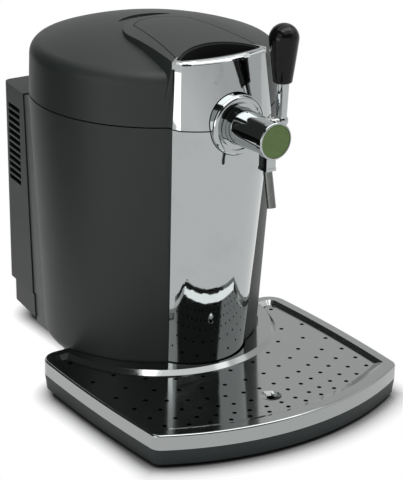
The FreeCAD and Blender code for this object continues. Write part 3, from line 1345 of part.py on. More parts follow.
def switch_rocker():
    """Rocker of the mains switch, tipped to the off side."""
    y = SWITCH_AXIS_Y
    z = SWITCH_AXIS_Z
    half = SWITCH_HALF_H
    outline = [
        vec(SWITCH_X0, y - 4.0, z - 4.0),
        vec(SWITCH_X0, y - 4.0, z + 4.0),
        vec(SWITCH_X0, y + 4.4, z + half),
        vec(SWITCH_X0, y + 3.2, z),
        vec(SWITCH_X0, y + 4.4, z - half),
        vec(SWITCH_X0, y - 4.0, z - 4.0),
    ]
    rocker = Part.Face(Part.makePolygon(outline)).extrude(vec(SWITCH_X1 - SWITCH_X0, 0, 0))
    rocker.rotate(vec(0, y, z), vec(1, 0, 0), -SWITCH_TILT)
    return union([rocker, rod_x(SWITCH_PIVOT_R, SWITCH_X0 - 1.2, SWITCH_X1 + 1.2, y, z)])


# ================================================================ tray
def tray_base():
    """Plastic tub that collects the spill, with two lugs for the plinth."""
    skirt = PLATE_SHEET + FIT_GAP
    outer = loft([tray_wire(TRAY_UNDERCUT, TRAY_FLOOR_Z), tray_wire(0.0, PLATE_SKIRT_Z - 0.4)])
    upper = tray_block(skirt, PLATE_SKIRT_Z - 0.6, PLATE_TOP_Z - PLATE_SHEET - SEAT_GAP)
    bay_cut = bay(0.9, -5.0, 60.0)
    tub = outer.fuse(upper).cut(bay_cut)
    hollow = tray_block(skirt + TRAY_WALL, TRAY_FLOOR_Z + TRAY_WALL, 60.0)
    hollow = hollow.cut(bay(0.9 + TRAY_WALL, -6.0, 61.0))
    tub = tub.cut(hollow)
    tub = tub.cut(post(BEAD_R + 2.5, PLATE_FLOOR_Z - PLATE_SHEET - SEAT_GAP, 60.0, 0.0, BEAD_Y))
    for side in (-1, 1):
        x = side * LUG_X
        lug = box(x - LUG_HALF_W, x + LUG_HALF_W, LUG_FRONT_Y, LUG_REAR_Y, LUG_LOW_Z, LUG_TOP_Z)
        tub = tub.fuse(lug)
    return biggest(tub.removeSplitter())


def tray_pads():
    """Rubber pads under the tray."""
    pads = []
    for x, y in ((-125.0, -215.0), (125.0, -215.0), (-135.0, -60.0), (135.0, -60.0)):
        pads.append(post(7.0, 0.0, TRAY_FLOOR_Z, x, y))
    return Part.makeCompound(pads)


def drip_plate():
    """Pressed steel plate with rim, sunken floor, drain and rows of holes."""
    sheet = PLATE_SHEET
    top = PLATE_TOP_Z
    skirt = tray_block(0.0, PLATE_SKIRT_Z, top)
    brim = [edge for edge in skirt.Edges if edge.BoundBox.ZMin > top - 0.01]
    skirt = skirt.makeFillet(PLATE_EDGE_R, brim)
    skirt = skirt.cut(tray_block(sheet, PLATE_SKIRT_Z - 1.0, top - sheet))
    rim_in = RIM_WIDTH
    slope = RIM_SLOPE
    low_z = PLATE_FLOOR_Z - sheet
    wide = RIM_FRONT
    far = RIM_FRONT + RIM_FRONT_SLOPE
    wall = loft([
        tray_wire(rim_in, top + 0.02, wide),
        tray_wire(rim_in + slope, PLATE_FLOOR_Z, far),
    ])
    under = loft([
        tray_wire(rim_in - sheet, top - sheet, wide),
        tray_wire(rim_in + slope - sheet, low_z, far),
    ])
    bead = turned([
        (0, PLATE_FLOOR_Z),
        (BEAD_R + slope, PLATE_FLOOR_Z),
        (BEAD_R, top + 0.02),
        (0, top + 0.02),
    ])
    bead_under = turned([
        (0, low_z),
        (BEAD_R + slope - sheet, low_z),
        (BEAD_R - sheet, top - sheet),
        (0, top - sheet),
    ])
    for shape in (bead, bead_under):
        shape.translate(vec(0, BEAD_Y, 0))
    sunk = wall.cut(bead)
    plate = skirt.fuse(under.cut(bead_under)).cut(sunk)
    plate = plate.cut(bay(0.0, -5.0, 60.0))
    bowl_r = (DRAIN_R ** 2 + DRAIN_DEEP ** 2) / (2.0 * DRAIN_DEEP)
    centre = vec(0, DRAIN_Y, PLATE_FLOOR_Z - DRAIN_DEEP + bowl_r)
    cup = Part.makeSphere(bowl_r + sheet, centre)
    cup = cup.common(post(bowl_r, PLATE_FLOOR_Z - 6.0, PLATE_FLOOR_Z - sheet / 2.0, 0.0, DRAIN_Y))
    plate = plate.fuse(cup).cut(Part.makeSphere(bowl_r, centre))
    plate = plate.cut(post(DRAIN_HOLE_R, 10.0, 60.0, 0.0, DRAIN_Y))
    for hole in drain_holes():
        plate = plate.cut(hole)
    return biggest(plate.removeSplitter())


def drain_holes():
    """Drain holes in rows on arcs in front of the body and beside it."""
    holes = []
    for centre_y, radius, distances in HOLE_ROWS:
        for away in distances:
            y = centre_y - math.sqrt(radius ** 2 - away ** 2)
            holes.append(post(HOLE_R, 20.0, 40.0, away, y))
            if away:
                holes.append(post(HOLE_R, 20.0, 40.0, -away, y))
    return holes


PIECES = {
    "body_shell": body_shell,
    "lower_front_panel": lower_front_panel,
    "base_pan": base_pan,
    "feet": feet,
    "body_rim": body_rim,
    "rim_seal": rim_seal,
    "keg_well": keg_well,
    "well_insulation": well_insulation,
    "lid_shell": lid_shell,
    "lid_hatch": lid_hatch,
    "upper_front_panel": upper_front_panel,
    "finger_recess": finger_recess,
    "lid_liner": lid_liner,
    "lid_insulation": lid_insulation,
    "hinge_bracket": hinge_bracket,
    "hinge_pin": hinge_pin,
    "hinge_screws": hinge_screws,
    "lid_hinge_leaf": lid_hinge_leaf,
    "tap_bracket": tap_bracket,
    "tap_screws": tap_screws,
    "tap_collar": tap_collar,
    "tap_body": tap_body,
    "badge_ring": badge_ring,
    "badge_disc": badge_disc,
    "spout_block": spout_block,
    "spout_tube": spout_tube,
    "beer_line": beer_line,
    "keg_connector": keg_connector,
    "lever_shaft": lever_shaft,
    "lever_stem": lever_stem,
    "lever_knob": lever_knob,
    "pinch_bar": pinch_bar,
    "module_frame": module_frame,
    "rear_cover": rear_cover,
    "cover_screws": cover_screws,
    "cold_block": cold_block,
    "peltier_module": peltier_module,
    "heat_sink": heat_sink,
    "fan_frame": fan_frame,
    "fan_rotor": fan_rotor,
    "power_board": power_board,
    "transformer": transformer,
    "power_inlet": power_inlet,
    "switch_bezel": switch_bezel,
    "switch_rocker": switch_rocker,
    "tray_base": tray_base,
    "tray_pads": tray_pads,
    "drip_plate": drip_plate,
}


def main():
    """Draw every piece, move it to the object's frame and write it."""
    for name, draw in PIECES.items():
        shape = draw()
        shape.translate(vec(0, AXIS_Y, 0))
        shape.exportStep("parts/" + name + ".step")
        box_ = shape.optimalBoundingBox(False)
        print(name, len(shape.Solids), shape.isValid(), round(shape.Volume / 1000.0, 2),
              [round(v, 1) for v in (box_.XMin, box_.XMax, box_.YMin, box_.YMax, box_.ZMin, box_.ZMax)])


main()
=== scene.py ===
"""Mini keg beer dispenser: finishes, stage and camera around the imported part."""

import math

import bmesh
import bpy
from bpy.props import FloatProperty, FloatVectorProperty, PointerProperty
from mathutils import Matrix, Vector

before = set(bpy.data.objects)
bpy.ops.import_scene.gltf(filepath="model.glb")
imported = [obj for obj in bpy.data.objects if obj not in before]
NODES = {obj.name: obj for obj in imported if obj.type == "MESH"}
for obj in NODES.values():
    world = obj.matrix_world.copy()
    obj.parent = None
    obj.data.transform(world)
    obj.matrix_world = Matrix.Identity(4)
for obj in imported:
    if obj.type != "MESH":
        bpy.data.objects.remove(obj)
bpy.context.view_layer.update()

bl_info = {
    "name": "Mini keg beer dispenser",
    "version": (1, 0, 0),
    "blender": (4, 5, 0),
    "location": "View3D > Sidebar > Dispenser",
    "description": "Finishes, stage and camera of the beer dispenser",
    "category": "Object",
}


# ---------------------------------------------------------------- node trees


def place(tree, kind, inputs=None, **settings):
    """One shader node with its settings, and its inputs set or linked."""
    made = tree.nodes.new("ShaderNode" + kind)
    for name, value in settings.items():
        setattr(made, name, value)
    for name, value in (inputs or {}).items():
        if isinstance(value, bpy.types.NodeSocket):
            tree.links.new(value, made.inputs[name])
        else:
            made.inputs[name].default_value = value
    return made


def bare_tree(owner):
    """The emptied node tree of a material or world."""
    owner.use_nodes = True
    owner.node_tree.nodes.clear()
    return owner.node_tree


def maths(tree, operation, first, second=0.0, clamp=False):
    """The value socket of a Math node."""
    return place(
        tree, "Math", {0: first, 1: second}, operation=operation, use_clamp=clamp
    ).outputs[0]


def swing(tree, value, amount):
    """A value between 0 and 1 turned into a swing about zero."""
    return maths(tree, "MULTIPLY", maths(tree, "SUBTRACT", value, 0.5), amount)


def mixed(tree, factor, first, second):
    """The colour socket of a Mix node."""
    made = place(tree, "Mix", data_type="RGBA")
    for name, value in (
        ("Factor_Float", factor),
        ("A_Color", first),
        ("B_Color", second),
    ):
        socket = next(s for s in made.inputs if s.identifier == name)
        if isinstance(value, bpy.types.NodeSocket):
            tree.links.new(value, socket)
        else:
            socket.default_value = value
    return next(s for s in made.outputs if s.identifier == "Result_Color")


def ranged(tree, value, low, high, start=0.0, end=1.0):
    """A value carried from one range to another, held at its ends."""
    return place(
        tree,
        "MapRange",
        {
            "Value": value,
            "From Min": low,
            "From Max": high,
            "To Min": start,
            "To Max": end,
        },
    ).outputs["Result"]


def noise(tree, vector, scale, detail=2.0, rough=0.5):
    """The grey socket of a Noise Texture."""
    return place(
        tree,
        "TexNoise",
        {"Vector": vector, "Scale": scale, "Detail": detail, "Roughness": rough},
    ).outputs[0]


def scaled(tree, vector, factor):
    """A colour or vector times one value."""
    return place(
        tree, "VectorMath", {0: vector, "Scale": factor}, operation="SCALE"
    ).outputs[0]


def stretched(tree, vector, factors):
    """A vector scaled by its own constant on each axis."""
    return place(tree, "Mapping", {"Vector": vector, "Scale": factors}).outputs[0]


def shifted(tree, vector, by):
    """The vector moved by a constant."""
    return place(
        tree, "VectorMath", {0: vector, 1: by}, operation="ADD"
    ).outputs[0]


def length(tree, vector):
    """The vector's length."""
    return place(tree, "VectorMath", {0: vector}, operation="LENGTH").outputs["Value"]


# ---------------------------------------------------------------- effects


COLOUR, FLOAT, VECTOR = "NodeSocketColor", "NodeSocketFloat", "NodeSocketVector"
EFFECT_OUTPUTS = (("Colour", COLOUR), ("Roughness", FLOAT), ("Height", FLOAT))

TONE_SCALE = 9.0            # slow unevenness of moulded plastic
TONE_DETAIL = 3.0
TONE_ROUGHNESS = 0.12       # how far that unevenness moves the roughness
GRAIN_DETAIL = 2.0
GRAIN_SOFTNESS = 0.6
CELL_RELIEF = 0.7           # share of the grain's cells in its relief

BUFF_STRETCH = (60.0, 60.0, 900.0)   # fine lines left by buffing
BUFF_DETAIL = 2.0
BUFF_ROUGHNESS = 0.01
MARK_SCALE = 26.0           # finger marks
MARK_DETAIL = 4.0
MARK_SOFTNESS = 0.6
MARK_LIMITS = (0.52, 0.72)

LINE_DETAIL = 3.0           # lines of rolled metal
LINE_SOFTNESS = 0.65
LINE_ROUGHNESS = 0.18
CLOUD_SCALE = 14.0          # cloudy sheen over them
CLOUD_DETAIL = 3.0
CLOUD_ROUGHNESS = 0.1


def effect_group(name, inputs, build):
    """A shader node group with named inputs and the outputs that finishes use."""
    group = bpy.data.node_groups.new(name, "ShaderNodeTree")
    for label, kind, default in inputs:
        socket = group.interface.new_socket(
            name=label, in_out="INPUT", socket_type=kind
        )
        socket.default_value = default
    for label, kind in EFFECT_OUTPUTS:
        group.interface.new_socket(name=label, in_out="OUTPUT", socket_type=kind)
    entry = group.nodes.new("NodeGroupInput")
    leave = group.nodes.new("NodeGroupOutput")
    results = build(group, entry.outputs)
    for label, socket in results.items():
        group.links.new(socket, leave.inputs[label])
    return group


def grain_group():
    """Fine moulded grain with slow unevenness of tone, as on textured plastic."""

    def build(tree, given):
        where = place(tree, "TexCoord").outputs["Object"]
        coarse = noise(tree, where, TONE_SCALE, TONE_DETAIL)
        cells = place(
            tree,
            "TexVoronoi",
            {"Vector": where, "Scale": given["Grain"], "Randomness": 1.0},
            feature="SMOOTH_F1",
        ).outputs["Distance"]
        fine = noise(tree, where, given["Grain"], GRAIN_DETAIL, GRAIN_SOFTNESS)
        tone = swing(tree, coarse, given["Unevenness"])
        speck = swing(tree, fine, given["Speckle"])
        gain = maths(tree, "ADD", maths(tree, "ADD", tone, speck), 1.0)
        rough = maths(
            tree,
            "ADD",
            given["Roughness"],
            swing(tree, coarse, TONE_ROUGHNESS),
            clamp=True,
        )
        height = maths(
            tree, "ADD", maths(tree, "MULTIPLY", cells, CELL_RELIEF), fine
        )
        return {
            "Colour": scaled(tree, given["Colour"], gain),
            "Roughness": rough,
            "Height": height,
        }

    return effect_group(
        "moulded_grain",
        [
            ("Colour", COLOUR, (0.1, 0.1, 0.1, 1.0)),
            ("Roughness", FLOAT, 0.5),
            ("Grain", FLOAT, 900.0),
            ("Unevenness", FLOAT, 0.1),
            ("Speckle", FLOAT, 0.1),
        ],
        build,
    )


def polish_group():
    """Polished metal: faint buffing lines and finger marks in the gloss."""

    def build(tree, given):
        where = place(tree, "TexCoord").outputs["Object"]
        lines = noise(tree, stretched(tree, where, BUFF_STRETCH), 1.0, BUFF_DETAIL)
        marks = noise(tree, where, MARK_SCALE, MARK_DETAIL, MARK_SOFTNESS)
        smudge = ranged(tree, marks, *MARK_LIMITS)
        dulling = maths(
            tree,
            "ADD",
            maths(tree, "MULTIPLY", smudge, given["Finger marks"]),
            maths(tree, "MULTIPLY", lines, BUFF_ROUGHNESS),
        )
        rough = maths(tree, "ADD", given["Roughness"], dulling, clamp=True)
        haze = maths(tree, "MULTIPLY", smudge, given["Haze"])
        tone = maths(tree, "SUBTRACT", 1.0, haze)
        return {
            "Colour": scaled(tree, given["Colour"], tone),
            "Roughness": rough,
            "Height": lines,
        }

    return effect_group(
        "polished_metal",
        [
            ("Colour", COLOUR, (0.5, 0.5, 0.5, 1.0)),
            ("Roughness", FLOAT, 0.05),
            ("Finger marks", FLOAT, 0.04),
            ("Haze", FLOAT, 0.05),
        ],
        build,
    )


def rolled_group():
    """Rolled or brushed metal: long fine lines across one axis and a cloudy sheen."""

    def build(tree, given):
        where = place(tree, "TexCoord").outputs["Object"]
        wide = place(
            tree, "VectorMath", {0: where, 1: given["Stretch"]}, operation="MULTIPLY"
        ).outputs[0]
        lines = noise(tree, wide, 1.0, LINE_DETAIL, LINE_SOFTNESS)
        cloud = noise(tree, where, CLOUD_SCALE, CLOUD_DETAIL)
        dulling = maths(
            tree,
            "ADD",
            swing(tree, lines, LINE_ROUGHNESS),
            swing(tree, cloud, CLOUD_ROUGHNESS),
        )
        rough = maths(tree, "ADD", given["Roughness"], dulling, clamp=True)
        gain = maths(tree, "ADD", 1.0, swing(tree, lines, given["Contrast"]))
        return {
            "Colour": scaled(tree, given["Colour"], gain),
            "Roughness": rough,
            "Height": lines,
        }

    return effect_group(
        "rolled_metal",
        [
            ("Colour", COLOUR, (0.5, 0.5, 0.5, 1.0)),
            ("Roughness", FLOAT, 0.2),
            ("Contrast", FLOAT, 0.2),
            ("Stretch", VECTOR, (30.0, 1200.0, 1200.0)),
        ],
        build,
    )


EFFECT_MAKERS = {
    "moulded_grain": grain_group,
    "polished_metal": polish_group,
    "rolled_metal": rolled_group,
}
EFFECTS = {}


def effect(name):
    """The shared effect group of that name, built the first time it is asked for."""
    if name not in EFFECTS:
        EFFECTS[name] = EFFECT_MAKERS[name]()
    return EFFECTS[name]


def finish_material(name, group_name, given, bump, depth=0.0001, **shader):
    """A Principled material: colour, roughness and relief from one effect group."""
    material = bpy.data.materials.new(name)
    tree = bare_tree(material)
    group = place(tree, "Group", node_tree=effect(group_name))
    for label, value in given.items():
        group.inputs[label].default_value = value
    relief = place(
        tree,
        "Bump",
        {"Strength": bump, "Distance": depth, "Height": group.outputs["Height"]},
    )
    skin = place(
        tree,
        "BsdfPrincipled",
        {
            "Base Color": group.outputs["Colour"],
            "Roughness": group.outputs["Roughness"],
            "Normal": relief.outputs[0],
        },
    )
    for label, value in shader.items():
        skin.inputs[label.replace("_", " ")].default_value = value
    place(tree, "OutputMaterial", {"Surface": skin.outputs[0]})
    return material


def rgba(colour):
    """A colour property as the four numbers that a socket takes."""
    return (colour[0], colour[1], colour[2], 1.0)


def wear(material, *names):
    """Gives CAD nodes one material, through their objects' material slots."""
    for name in names:
        node = NODES[name]
        if not node.material_slots:
            node.data.materials.append(None)
        for slot in node.material_slots:
            slot.link = "OBJECT"
            slot.material = material


# ---------------------------------------------------------------- settings


def colour_property(name, description, default):
    """A colour that a user can pick."""
    return FloatVectorProperty(
        name=name,
        description=description,
        default=default,
        size=3,
        min=0.0,
        max=1.0,
        subtype="COLOR",
    )


def share_property(name, description, default):
    """A value from 0 to 1 that a user can slide."""
    return FloatProperty(
        name=name,
        description=description,
        default=default,
        min=0.0,
        max=1.0,
        subtype="FACTOR",
    )


class FinishSettings(bpy.types.PropertyGroup):
    """Colours and gloss of the dispenser's materials."""

    body_colour: colour_property(
        "Body", "Colour of the textured body, lid and rear cover", (0.016, 0.02, 0.018)
    )
    body_roughness: share_property(
        "Body roughness", "How matte the textured plastic is", 0.5
    )
    chrome_colour: colour_property(
        "Chrome", "Colour of the chromed front and tap", (0.405, 0.425, 0.425)
    )
    chrome_roughness: share_property(
        "Chrome roughness", "How soft reflections in the chrome are", 0.03
    )
    tube_colour: colour_property(
        "Spout tube", "Colour of the drawn steel spout", (0.15, 0.157, 0.148)
    )
    knob_colour: colour_property(
        "Knob", "Colour of the glossy lever knob", (0.004, 0.004, 0.0045)
    )
    badge_colour: colour_property(
        "Badge", "Colour of the badge disc", (0.09, 0.145, 0.045)
    )
    tray_colour: colour_property(
        "Tray", "Colour of the drip tray's base", (0.019, 0.024, 0.024)
    )
    plate_colour: colour_property(
        "Drip plate", "Colour of the perforated plate", (0.33, 0.345, 0.34)
    )
    plate_roughness: share_property(
        "Drip plate roughness", "How soft reflections in the plate are", 0.1
    )


class StageSettings(bpy.types.PropertyGroup):
    """Camera, lamps and floor."""

    azimuth: FloatProperty(
        name="Azimuth",
        description="Camera's turn from straight ahead of the chrome front",
        default=math.radians(35.49),
        subtype="ANGLE",
    )
    elevation: FloatProperty(
        name="Elevation",
        description="Camera's angle above the table",
        default=math.radians(21.45),
        subtype="ANGLE",
    )
    roll: FloatProperty(
        name="Roll",
        description="Camera's tilt about its own axis",
        default=math.radians(1.29),
        subtype="ANGLE",
    )
    distance: FloatProperty(
        name="Distance",
        description="Camera's distance from the target",
        default=1.88357,
        unit="LENGTH",
    )
    focal_pixels: FloatProperty(
        name="Focal length",
        description="Focal length in pixels of a render 480 high",
        default=1810.24,
    )
    key_watts: FloatProperty(
        name="Key lamp", description="Power of the main softbox", default=5.7
    )
    fill_watts: FloatProperty(
        name="Fill lamp", description="Power of the softbox on the right", default=5.0
    )
    top_watts: FloatProperty(
        name="Top lamp", description="Power of the overhead softbox", default=24.5
    )
    strip_watts: FloatProperty(
        name="Strip lamp", description="Power of the overhead strip", default=12.0
    )
    ambient: share_property("Ambient", "Brightness of the room's walls", 0.76)
    floor_colour: colour_property(
        "Floor", "Colour of the studio floor", (0.9, 0.9, 0.9)
    )


# ---------------------------------------------------------------- pieces


def grained(name, colour, roughness, grain=900.0, bump=0.25, **shader):
    """A moulded plastic or rubber."""
    return finish_material(
        name,
        "moulded_grain",
        {
            "Colour": rgba(colour),
            "Roughness": roughness,
            "Grain": grain,
            "Unevenness": 0.08,
            "Speckle": 0.1,
        },
        bump=bump,
        **shader,
    )


def polished(name, colour, roughness):
    """A polished and plated metal."""
    return finish_material(
        name,
        "polished_metal",
        {
            "Colour": rgba(colour),
            "Roughness": roughness,
            "Finger marks": 0.03,
            "Haze": 0.05,
        },
        bump=0.02,
        depth=0.00002,
        Metallic=1.0,
    )


def rolled(name, colour, roughness, stretch, contrast=0.15, bump=0.05):
    """A rolled, drawn or brushed metal."""
    return finish_material(
        name,
        "rolled_metal",
        {
            "Colour": rgba(colour),
            "Roughness": roughness,
            "Contrast": contrast,
            "Stretch": stretch,
        },
        bump=bump,
        Metallic=1.0,
    )


class DISPENSER_OT_body(bpy.types.Operator):
    """Textured dark plastic of the body, lid and rear cover"""

    bl_idname = "dispenser.body"
    bl_label = "Body and lid"

    def execute(self, context):
        settings = context.scene.dispenser_finish
        skin = grained(
            "body_plastic",
            settings.body_colour,
            settings.body_roughness,
            Specular_IOR_Level=0.35,
        )
        wear(skin, "body_shell", "lid_shell", "lid_hatch", "rear_cover")
        return {"FINISHED"}


class DISPENSER_OT_front(bpy.types.Operator):
    """Chromed front panels, tap and lever stem, and the steel spout"""

    bl_idname = "dispenser.front"
    bl_label = "Chrome front"

    def execute(self, context):
        settings = context.scene.dispenser_finish
        chrome = polished("chrome", settings.chrome_colour, settings.chrome_roughness)
        wear(
            chrome,
            "upper_front_panel",
            "lower_front_panel",
            "tap_collar",
            "tap_body",
            "badge_ring",
            "spout_block",
            "lever_stem",
        )
        tube = rolled(
            "drawn_steel",
            settings.tube_colour,
            roughness=0.22,
            stretch=(700.0, 700.0, 6.0),
            contrast=0.9,
            bump=0.1,
        )
        wear(tube, "spout_tube")
        return {"FINISHED"}


class DISPENSER_OT_tap(bpy.types.Operator):
    """Badge, knob, valve, beer line, keg coupling and screws"""

    bl_idname = "dispenser.tap"
    bl_label = "Tap"

    def execute(self, context):
        settings = context.scene.dispenser_finish
        gloss = grained(
            "gloss_black",
            settings.knob_colour,
            roughness=0.06,
            grain=300.0,
            bump=0.01,
            Specular_IOR_Level=0.18,
        )
        wear(gloss, "lever_knob")
        badge = grained(
            "badge_green",
            settings.badge_colour,
            roughness=0.45,
            bump=0.03,
            Specular_IOR_Level=0.25,
        )
        wear(badge, "badge_disc")
        black = grained(
            "black_plastic",
            colour=(0.005, 0.005, 0.006),
            roughness=0.6,
            Specular_IOR_Level=0.2,
        )
        wear(black, "finger_recess", "tap_bracket", "pinch_bar")
        hose = grained("hose", colour=(0.62, 0.62, 0.58), roughness=0.3, bump=0.03)
        wear(hose, "beer_line")
        pale = grained(
            "keg_coupling", colour=(0.55, 0.56, 0.54), roughness=0.4, bump=0.1
        )
        wear(pale, "keg_connector")
        steel = rolled(
            "screw_steel",
            colour=(0.5, 0.5, 0.5),
            roughness=0.3,
            stretch=(900.0, 900.0, 60.0),
        )
        wear(
            steel,
            "tap_screws",
            "cover_screws",
            "hinge_screws",
            "hinge_pin",
            "lever_shaft",
        )
        return {"FINISHED"}


class DISPENSER_OT_tray(bpy.types.Operator):
    """Drip tray, its perforated plate, and the rubber of pads, feet and seal"""

    bl_idname = "dispenser.tray"
    bl_label = "Drip tray"

    def execute(self, context):
        settings = context.scene.dispenser_finish
        base = grained(
            "tray_plastic",
            settings.tray_colour,
            roughness=0.5,
            Specular_IOR_Level=0.3,
        )
        wear(base, "tray_base")
        plate = rolled(
            "plate_steel",
            settings.plate_colour,
            settings.plate_roughness,
            stretch=(20.0, 700.0, 700.0),
            contrast=0.06,
            bump=0.02,
        )
        wear(plate, "drip_plate")
        rubber = grained("rubber", colour=(0.02, 0.02, 0.02), roughness=0.8)
        wear(rubber, "tray_pads", "feet", "rim_seal")
        return {"FINISHED"}


class DISPENSER_OT_inside(bpy.types.Operator):
    """Keg well, rim, insulation, hinge, cooling and mains parts"""

    bl_idname = "dispenser.inside"
    bl_label = "Inside"

    def execute(self, context):
        grey = grained("grey_plastic", colour=(0.1, 0.105, 0.105), roughness=0.5)
        wear(
            grey,
            "body_rim",
            "lid_liner",
            "module_frame",
            "base_pan",
            "hinge_bracket",
            "lid_hinge_leaf",
        )
        black = grained("fan_plastic", colour=(0.018, 0.019, 0.02), roughness=0.45)
        wear(
            black,
            "fan_frame",
            "fan_rotor",
            "switch_bezel",
            "switch_rocker",
            "power_inlet",
        )
        foam = grained(
            "foam", colour=(0.7, 0.66, 0.5), roughness=0.95, grain=400.0, bump=0.6
        )
        wear(foam, "well_insulation", "lid_insulation")
        aluminium = rolled(
            "aluminium",
            colour=(0.6, 0.61, 0.62),
            roughness=0.28,
            stretch=(40.0, 40.0, 900.0),
        )
        wear(aluminium, "keg_well", "cold_block", "heat_sink")
        ceramic = grained(
            "ceramic_white", colour=(0.8, 0.8, 0.77), roughness=0.4, bump=0.05
        )
        wear(ceramic, "peltier_module")
        board = grained(
            "board_green", colour=(0.01, 0.09, 0.03), roughness=0.35, bump=0.08
        )
        wear(board, "power_board")
        core = grained(
            "transformer_steel", colour=(0.08, 0.05, 0.02), roughness=0.4, bump=0.1
        )
        wear(core, "transformer")
        return {"FINISHED"}


# ---------------------------------------------------------------- stage


AXIS_Y = 0.04875                     # axis of the round body
TARGET = Vector((0.0, AXIS_Y, 0.18))
SLIDE_X, SLIDE_Y = -0.05112, 0.05202  # camera's slide from the target, in its plane
RENDER_HIGH = 480.0                  # height that the focal length is given for
SENSOR = 36.0
CLIP_END = 50.0

FLOOR_RADIUS = 6.0
FLOOR_SIDES = 64
FLOOR_ROUGHNESS = 0.5
WHITE = (1.0, 1.0, 1.0, 1.0)
# floor that keeps its shadow: centre x, centre y, half width and half depth
SHADOW_BOXES = (
    (0.0, -0.12, 0.151, 0.14),
    (0.0, 0.115, 0.066, 0.095),
)
SHADOW_ROUND = 0.03                  # radius of the boxes' corners
SHADOW_FADE = (0.0, 0.022)           # distance outside them over which it fades
FRONT_ARC = (0.0828, 0.3026)         # centre y and radius of the tray's front
FRONT_FADE = (0.002, 0.026)
FAR_AWAY = 9.0                       # more than any distance on the floor
# painted shade: ambient occlusion darkens the floor's colour near the dispenser's
# pieces; the power below sets how deep it goes
PAINTED_SHADE_REACH = 0.07                 # how far the painted shade under the pieces spreads
PAINTED_SHADE_POWER = 1.6

CARD_EDGES = (-0.38, -6.0, 0.1, 6.0)  # right, left, near and far
CARD_HEIGHT = 0.003
CARD_COLOUR = (0.01, 0.01, 0.01, 1.0)

# dark stretches of the room in degrees: bearing of the right and the left end from
# straight ahead, then the rise at which they start and that at which they are full
DARK_PARTS = tuple(
    tuple(math.radians(angle) for angle in part)
    for part in (
        (-31.0, 58.0, 13.5, 15.5),
        (98.0, 190.0, -9.0, -7.0),
        (-190.0, 190.0, 40.0, 45.0),
    )
)
DARK_COLOUR = (0.04, 0.04, 0.04)
SOFT = math.radians(2.0)             # half the width of their soft ends
# bearings between which the walls grow brighter to the left, and by how much
LEFT_GAIN = (math.radians(-25.0), math.radians(25.0), 1.0, 1.35)

LAMP_AIM = (0.0, AXIS_Y, 0.3)
# name, place, aim, width and depth, and the setting that holds its power
LAMPS = (
    ("key_softbox", (-2.17, -0.36, 0.4), LAMP_AIM, (1.2, 0.75), "key_watts"),
    ("fill_softbox", (1.64, -0.6, 1.95), LAMP_AIM, (1.6, 1.1), "fill_watts"),
    ("top_softbox", (0.3, -0.25, 1.7), (0.3, -0.25, 0.0), (2.1, 2.5), "top_watts"),
    (
        "strip_softbox",
        (0.2, -0.35, 1.68),
        (0.2, -0.35, 0.0),
        (1.75, 0.62),
        "strip_watts",
    ),
)


def camera_axes(settings):
    """The camera's right, up and backward directions."""
    a, e, r = settings.azimuth, settings.elevation, settings.roll
    back = Vector(
        (
            -math.sin(a) * math.cos(e),
            -math.cos(a) * math.cos(e),
            math.sin(e),
        )
    )
    right = (-back).cross(Vector((0.0, 0.0, 1.0))).normalized()
    up = right.cross(-back)
    turned_right = math.cos(r) * right + math.sin(r) * up
    turned_up = -math.sin(r) * right + math.cos(r) * up
    return turned_right, turned_up, back


def add_softbox(name, place_at, aim, size, watts):
    """A rectangular area lamp aimed at a point."""
    lamp = bpy.data.lights.new(name, "AREA")
    lamp.shape = "RECTANGLE"
    lamp.size, lamp.size_y = size
    lamp.energy = watts
    holder = bpy.data.objects.new(name, lamp)
    bpy.context.scene.collection.objects.link(holder)
    holder.location = place_at
    holder.rotation_euler = (
        (Vector(aim) - Vector(place_at)).to_track_quat("-Z", "Y").to_euler()
    )
    holder.visible_camera = False


def stage_object(name, shape, material):
    """Makes a finished bmesh an object of one material."""
    mesh = bpy.data.meshes.new(name)
    shape.to_mesh(mesh)
    shape.free()
    mesh.materials.append(material)
    made = bpy.data.objects.new(name, mesh)
    bpy.context.scene.collection.objects.link(made)
    return made


def seen_directly(tree):
    """1 for rays from the camera and for rays by way of metal or glass, else 0."""
    path = place(tree, "LightPath").outputs
    return maths(
        tree,
        "MAXIMUM",
        maths(tree, "MAXIMUM", path["Is Camera Ray"], path["Is Glossy Ray"]),
        path["Is Transmission Ray"],
    )


def off_shadow(tree):
    """0 on the floor that keeps the dispenser's shadow, rising to 1 away from it."""
    where = place(tree, "TexCoord").outputs["Object"]
    away = FAR_AWAY
    for centre_x, centre_y, half_wide, half_deep in SHADOW_BOXES:
        from_centre = shifted(tree, where, (-centre_x, -centre_y, 0.0))
        one_side = place(
            tree, "VectorMath", {0: from_centre}, operation="ABSOLUTE"
        ).outputs[0]
        to_corner = (SHADOW_ROUND - half_wide, SHADOW_ROUND - half_deep, 0.0)
        beyond = place(
            tree,
            "VectorMath",
            {0: shifted(tree, one_side, to_corner), 1: (0.0, 0.0, 0.0)},
            operation="MAXIMUM",
        ).outputs[0]
        away = maths(tree, "MINIMUM", away, length(tree, beyond))
    away = maths(tree, "SUBTRACT", away, SHADOW_ROUND)
    arc_y, arc_radius = FRONT_ARC
    from_arc = length(tree, shifted(tree, where, (0.0, -arc_y, 0.0)))
    ahead = maths(tree, "SUBTRACT", from_arc, arc_radius)
    return maths(
        tree,
        "MAXIMUM",
        ranged(tree, away, *SHADOW_FADE),
        ranged(tree, ahead, *FRONT_FADE),
    )


